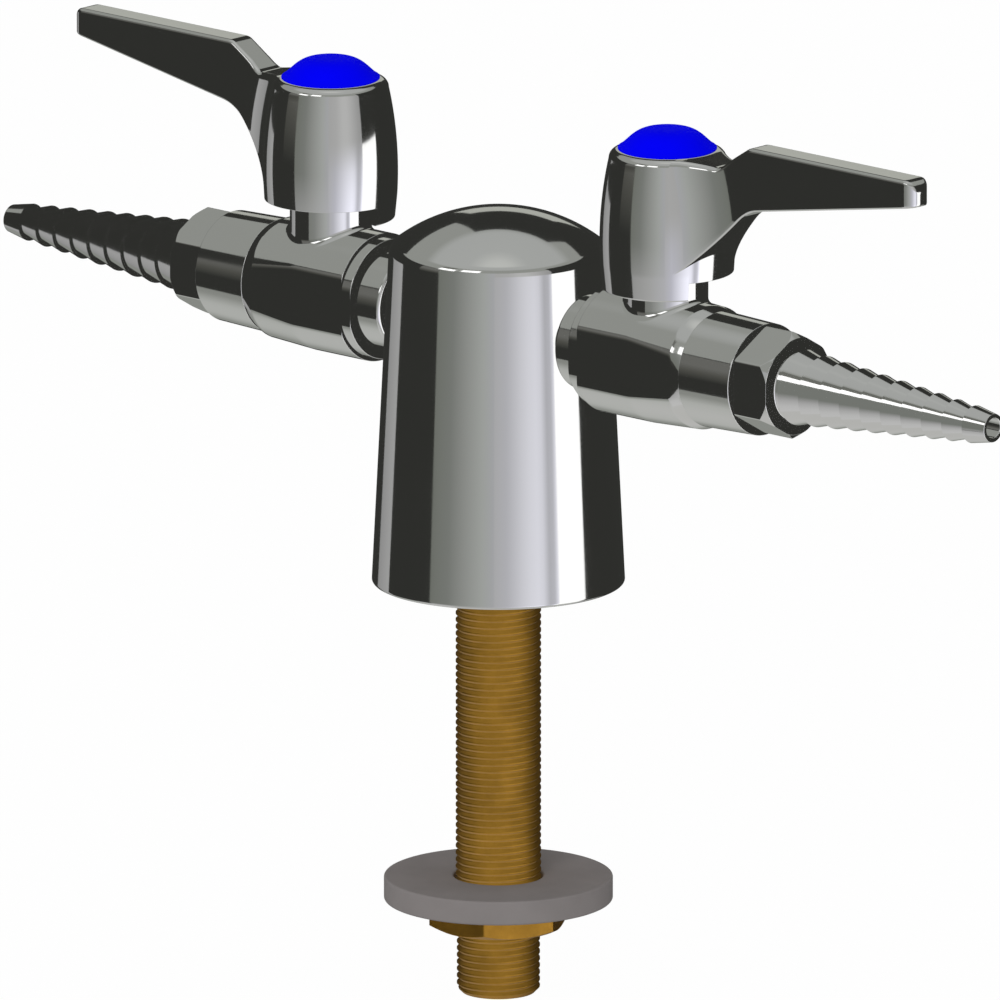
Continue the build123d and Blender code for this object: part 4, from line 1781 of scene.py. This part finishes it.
# Painted reflection of the lit room, shaded by elevation, seen only in the metal.
PAINTED_ROOM_REFLECTION = (
    (-90.0, (0.52, 0.52, 0.50)),
    (-56.0, (0.54, 0.54, 0.53)),
    (-44.0, (0.47, 0.48, 0.46)),
    (-34.0, (0.28, 0.29, 0.27)),
    (-20.0, (0.24, 0.25, 0.23)),
    (26.0, (0.31, 0.32, 0.30)),
    (48.0, (0.31, 0.32, 0.30)),
    (54.0, (0.42, 0.43, 0.42)),
    (74.0, (0.43, 0.44, 0.43)),
    (84.0, (0.56, 0.57, 0.55)),
    (90.0, (0.57, 0.58, 0.56)),
)
# Painted reflection of a side sheet, dark below and lighter upward, seen only in the metal.
PAINTED_SIDE_REFLECTION = (
    (-8.0, (0.032, 0.033, 0.03)),
    (4.0, (0.09, 0.09, 0.08)),
    (13.0, (0.15, 0.15, 0.14)),
    (26.0, (0.15, 0.15, 0.14)),
)
# Painted reflection of lit front paper: lower and upper shades, blended by elevation with the fade below.
PAINTED_LOW_FRONT_REFLECTION = (
    (-65.0, (0.38, 0.38, 0.38)),
    (-33.0, (0.43, 0.43, 0.43)),
    (-4.0, (0.50, 0.50, 0.53)),
)
PAINTED_FRONT_REFLECTION_FADE = shades(NEUTRAL, (-34.0, 0.0), (-25.0, 0.0), (-10.0, 1.0), (27.0, 1.0))
PAINTED_FRONT_REFLECTION = (
    (-65.0, (0.18, 0.19, 0.17)),
    (-47.0, (0.21, 0.22, 0.205)),
    (-33.0, (0.295, 0.305, 0.29)),
    (-15.0, (0.395, 0.41, 0.395)),
    (-4.0, (0.425, 0.43, 0.45)),
)
# Painted reflection of brightly lit paper at the right front, with a duller upper part blended in by
# elevation.
PAINTED_BRIGHT_REFLECTION = (
    (-4.0, (0.50, 0.50, 0.53)),
    *shades(
        BRIGHT_TINT,
        (7.0, 0.553),
        (18.0, 0.757),
        (30.0, 1.003),
        (37.0, 1.113),
        (42.0, 1.04),
        (48.0, 0.58),
        (53.0, 0.693),
        (57.0, 1.343),
    ),
)
PAINTED_DULL_REFLECTION = shades(
    NEUTRAL,
    (-4.0, 0.425),
    (10.0, 0.45),
    (22.0, 0.52),
    (30.0, 0.52),
    (37.0, 0.48),
    (45.0, 0.42),
    (53.0, 0.36),
    (57.0, 0.36),
)
PAINTED_BRIGHT_REFLECTION_FADE = shades(
    NEUTRAL,
    (-34.0, 0.0),
    (-22.0, 0.0),
    (-14.0, 0.2),
    (-9.0, 0.4),
    (-4.0, 0.8),
    (-1.0, 1.0),
    (27.0, 1.0),
)
# Painted reflection of the lit floor, darker upward, seen only in the metal.
PAINTED_FLOOR_REFLECTION = shades(NEUTRAL, (-60.0, 0.58), (-45.0, 0.55), (-30.0, 0.45), (-26.0, 0.41))


@dataclass(frozen=True)
class Studio:
    """Plain floor, soft light, camera, and the glowing cards, standing in for flags and boxes, that paint the
    polished metal's reflections.
    """

    camera_azimuth: float = 42.8
    camera_elevation: float = 13.6
    camera_distance: float = 9.0
    view_width: float = 200.0
    look_at: tuple[float, float, float] = (0.235, 0.217, 16.56)
    sensor: float = 36.0
    clip_share: float = 3.0
    floor_span: float = 9.0
    floor_colour: Colour = (0.86, 0.86, 0.86)
    floor_glow: float = 0.98
    # Glowing cards that paint the metal's reflections: painted dark bands, painted highlights and painted
    # reflections of a lit room, paper and floor.
    cards: tuple[ReflectedCard, ...] = (
        ReflectedCard("painted_room_reflection", (-180.0, 180.0), (-90.0, 90.0), PAINTED_ROOM_REFLECTION, upward=True, distance=7.0),
        ReflectedCard("left_painted_dark_reflection", (-119.0, -65.0), (-28.0, 27.0), PAINTED_DARK_REFLECTION),
        ReflectedCard("left_painted_reflection", (-143.0, -119.0), (-34.0, -6.0), PAINTED_LEFT_REFLECTION),
        ReflectedCard("left_top_painted_dark_reflection", (-143.0, -119.0), (-6.0, 27.0), PAINTED_DARK_REFLECTION),
        ReflectedCard("far_left_painted_dark_reflection", (-178.0, -143.0), (-26.0, 31.0), PAINTED_DARK_REFLECTION),
        ReflectedCard("back_painted_dark_reflection", (150.0, 193.0), (-18.0, 50.5), PAINTED_DARK_REFLECTION, distance=5.9),
        ReflectedCard("back_side_painted_dark_reflection", (138.0, 150.0), (-18.0, 40.0), PAINTED_DARK_REFLECTION, distance=5.9),
        ReflectedCard("right_painted_dark_reflection", (86.0, 140.0), (-34.0, 38.0), PAINTED_DARK_REFLECTION),
        ReflectedCard("back_painted_grey_reflection", (168.0, 186.0), (9.0, 21.0), PAINTED_GREY_REFLECTION, distance=5.6),
        ReflectedCard("side_painted_reflection", (-90.0, -65.0), (-8.0, 26.0), PAINTED_SIDE_REFLECTION, upward=True, distance=5.9),
        ReflectedCard(
            "front_painted_reflection", (-65.0, -4.0), (-34.0, 27.0), PAINTED_LOW_FRONT_REFLECTION, upper_stops=PAINTED_FRONT_REFLECTION, fade=PAINTED_FRONT_REFLECTION_FADE
        ),
        ReflectedCard(
            "bright_painted_reflection", (-4.0, 57.0), (-34.0, 27.0), PAINTED_BRIGHT_REFLECTION, upper_stops=PAINTED_DULL_REFLECTION, fade=PAINTED_BRIGHT_REFLECTION_FADE
        ),
        ReflectedCard("painted_floor_reflection", (-84.0, -49.0), (-60.0, -26.0), PAINTED_FLOOR_REFLECTION, upward=True, distance=5.8),
        ReflectedCard("right_painted_white_reflection", (57.0, 86.0), (-34.0, -2.5), PAINTED_WHITE_REFLECTION),
        ReflectedCard("back_low_painted_dark_reflection", (138.0, 168.0), (-52.0, -18.0), PAINTED_DARK_REFLECTION),
        ReflectedCard("right_top_painted_dark_reflection", (57.0, 86.0), (-2.5, 38.0), PAINTED_DARK_REFLECTION),
        ReflectedCard("nozzle_painted_highlight", (-70.0, -50.0), (24.5, 37.0), PAINTED_HIGHLIGHT_GLOW, distance=5.6),
        ReflectedCard("strip_shade", (-73.0, -53.0), (37.0, 48.0), SHADE, distance=5.6),
        ReflectedCard("top_painted_highlight", (-43.0, -21.0), (28.0, 42.0), PAINTED_HIGHLIGHT_GLOW, distance=5.6),
    )
    fill: float = 0.6
    key_power: float = 26.0
    key_turn: float = -14.0
    key_elevation: float = 22.0
    key_size: float = 1.6
    key_distance: float = 2.5

    def build_camera(self) -> None:
        """Sets up a very long lens at the photograph's angle."""
        back = direction(self.camera_azimuth, self.camera_elevation)
        data = bpy.data.cameras.new("photo_camera")
        data.sensor_width = self.sensor
        data.lens = self.sensor * self.camera_distance / (self.view_width * MILLIMETRE)
        data.clip_end = self.clip_share * self.camera_distance
        camera = new_object("photo_camera", data)
        camera.location = Vector(self.look_at) * MILLIMETRE + back * self.camera_distance
        camera.rotation_euler = back.to_track_quat("Z", "Y").to_euler()
        bpy.context.scene.camera = camera

    def build_floor(self, level: float) -> None:
        """Lays the pale floor.

        Args:
            level: Height of the floor in millimetres.
        """
        span, height = self.floor_span, level * MILLIMETRE
        mesh = bpy.data.meshes.new("studio_floor")
        corners = [(-span, -span, height), (span, -span, height), (span, span, height), (-span, span, height)]
        mesh.from_pydata(corners, [], [(0, 1, 2, 3)])
        floor = new_object("studio_floor", mesh)
        recipe = Recipe(bpy.data.materials.new("studio_paper"))
        paper = recipe.node("ShaderNodeBsdfDiffuse", {"Color": (*self.floor_colour, 1.0)})
        lit = recipe.node("ShaderNodeEmission", {"Color": WHITE, "Strength": 1.0})
        share = recipe.calculate("MULTIPLY", {0: recipe.seen_directly(), 1: self.floor_glow})
        mixed = recipe.node("ShaderNodeMixShader", {0: share, 1: paper.outputs[0], 2: lit.outputs[0]})
        recipe.end(mixed.outputs[0])
        mesh.materials.append(recipe.owner)
        floor.visible_glossy = False

    def build_world(self) -> None:
        """Sets a white surround that lights the object softly."""
        world = bpy.data.worlds.new("studio_world")
        bpy.context.scene.world = world
        recipe = Recipe(world)
        soft = recipe.node("ShaderNodeBackground", {"Color": WHITE, "Strength": self.fill})
        white = recipe.node("ShaderNodeBackground", {"Color": WHITE, "Strength": 1.0})
        sockets = {0: recipe.seen_directly(), 1: soft.outputs[0], 2: white.outputs[0]}
        recipe.end(recipe.node("ShaderNodeMixShader", sockets).outputs[0])

    def build_key(self) -> None:
        """Hangs one large soft lamp beside the camera."""
        data = bpy.data.lights.new("soft_key", "AREA")
        data.shape = "DISK"
        data.size = self.key_size
        data.energy = self.key_power
        lamp = new_object("soft_key", data)
        back = direction(self.camera_azimuth + self.key_turn, self.key_elevation)
        lamp.location = back * self.key_distance
        lamp.rotation_euler = back.to_track_quat("Z", "Y").to_euler()
        lamp.visible_glossy = False

    def build(self, floor_level: float) -> None:
        """Sets up the whole studio.

        Args:
            floor_level: Height of the floor in millimetres.
        """
        bpy.context.scene.view_settings.view_transform = "Standard"
        self.build_camera()
        self.build_floor(floor_level)
        self.build_world()
        self.build_key()
        for card in self.cards:
            card.build(self.camera_azimuth)
        LOG.info("studio: camera at %.1f, %.1f degrees", self.camera_azimuth, self.camera_elevation)


def main() -> None:
    """Loads the frame and builds every sub-assembly in order."""
    logging.basicConfig(level=logging.INFO, format="%(name)s %(message)s")
    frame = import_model()
    places = Places.from_frame()
    Studio().build(places.shank_end)
    Turret(places).build()
    Shank(places).build()
    DeckFixing(places).build()
    for side in Side:
        ValveBody(places, side).build()
        Outlet(places, side).build()
        Handle(places, side).build()
        IndexButton(places, side).build()
    InnerWorks().dress(frame["nodes"])


if __name__ == "__main__":
    main()
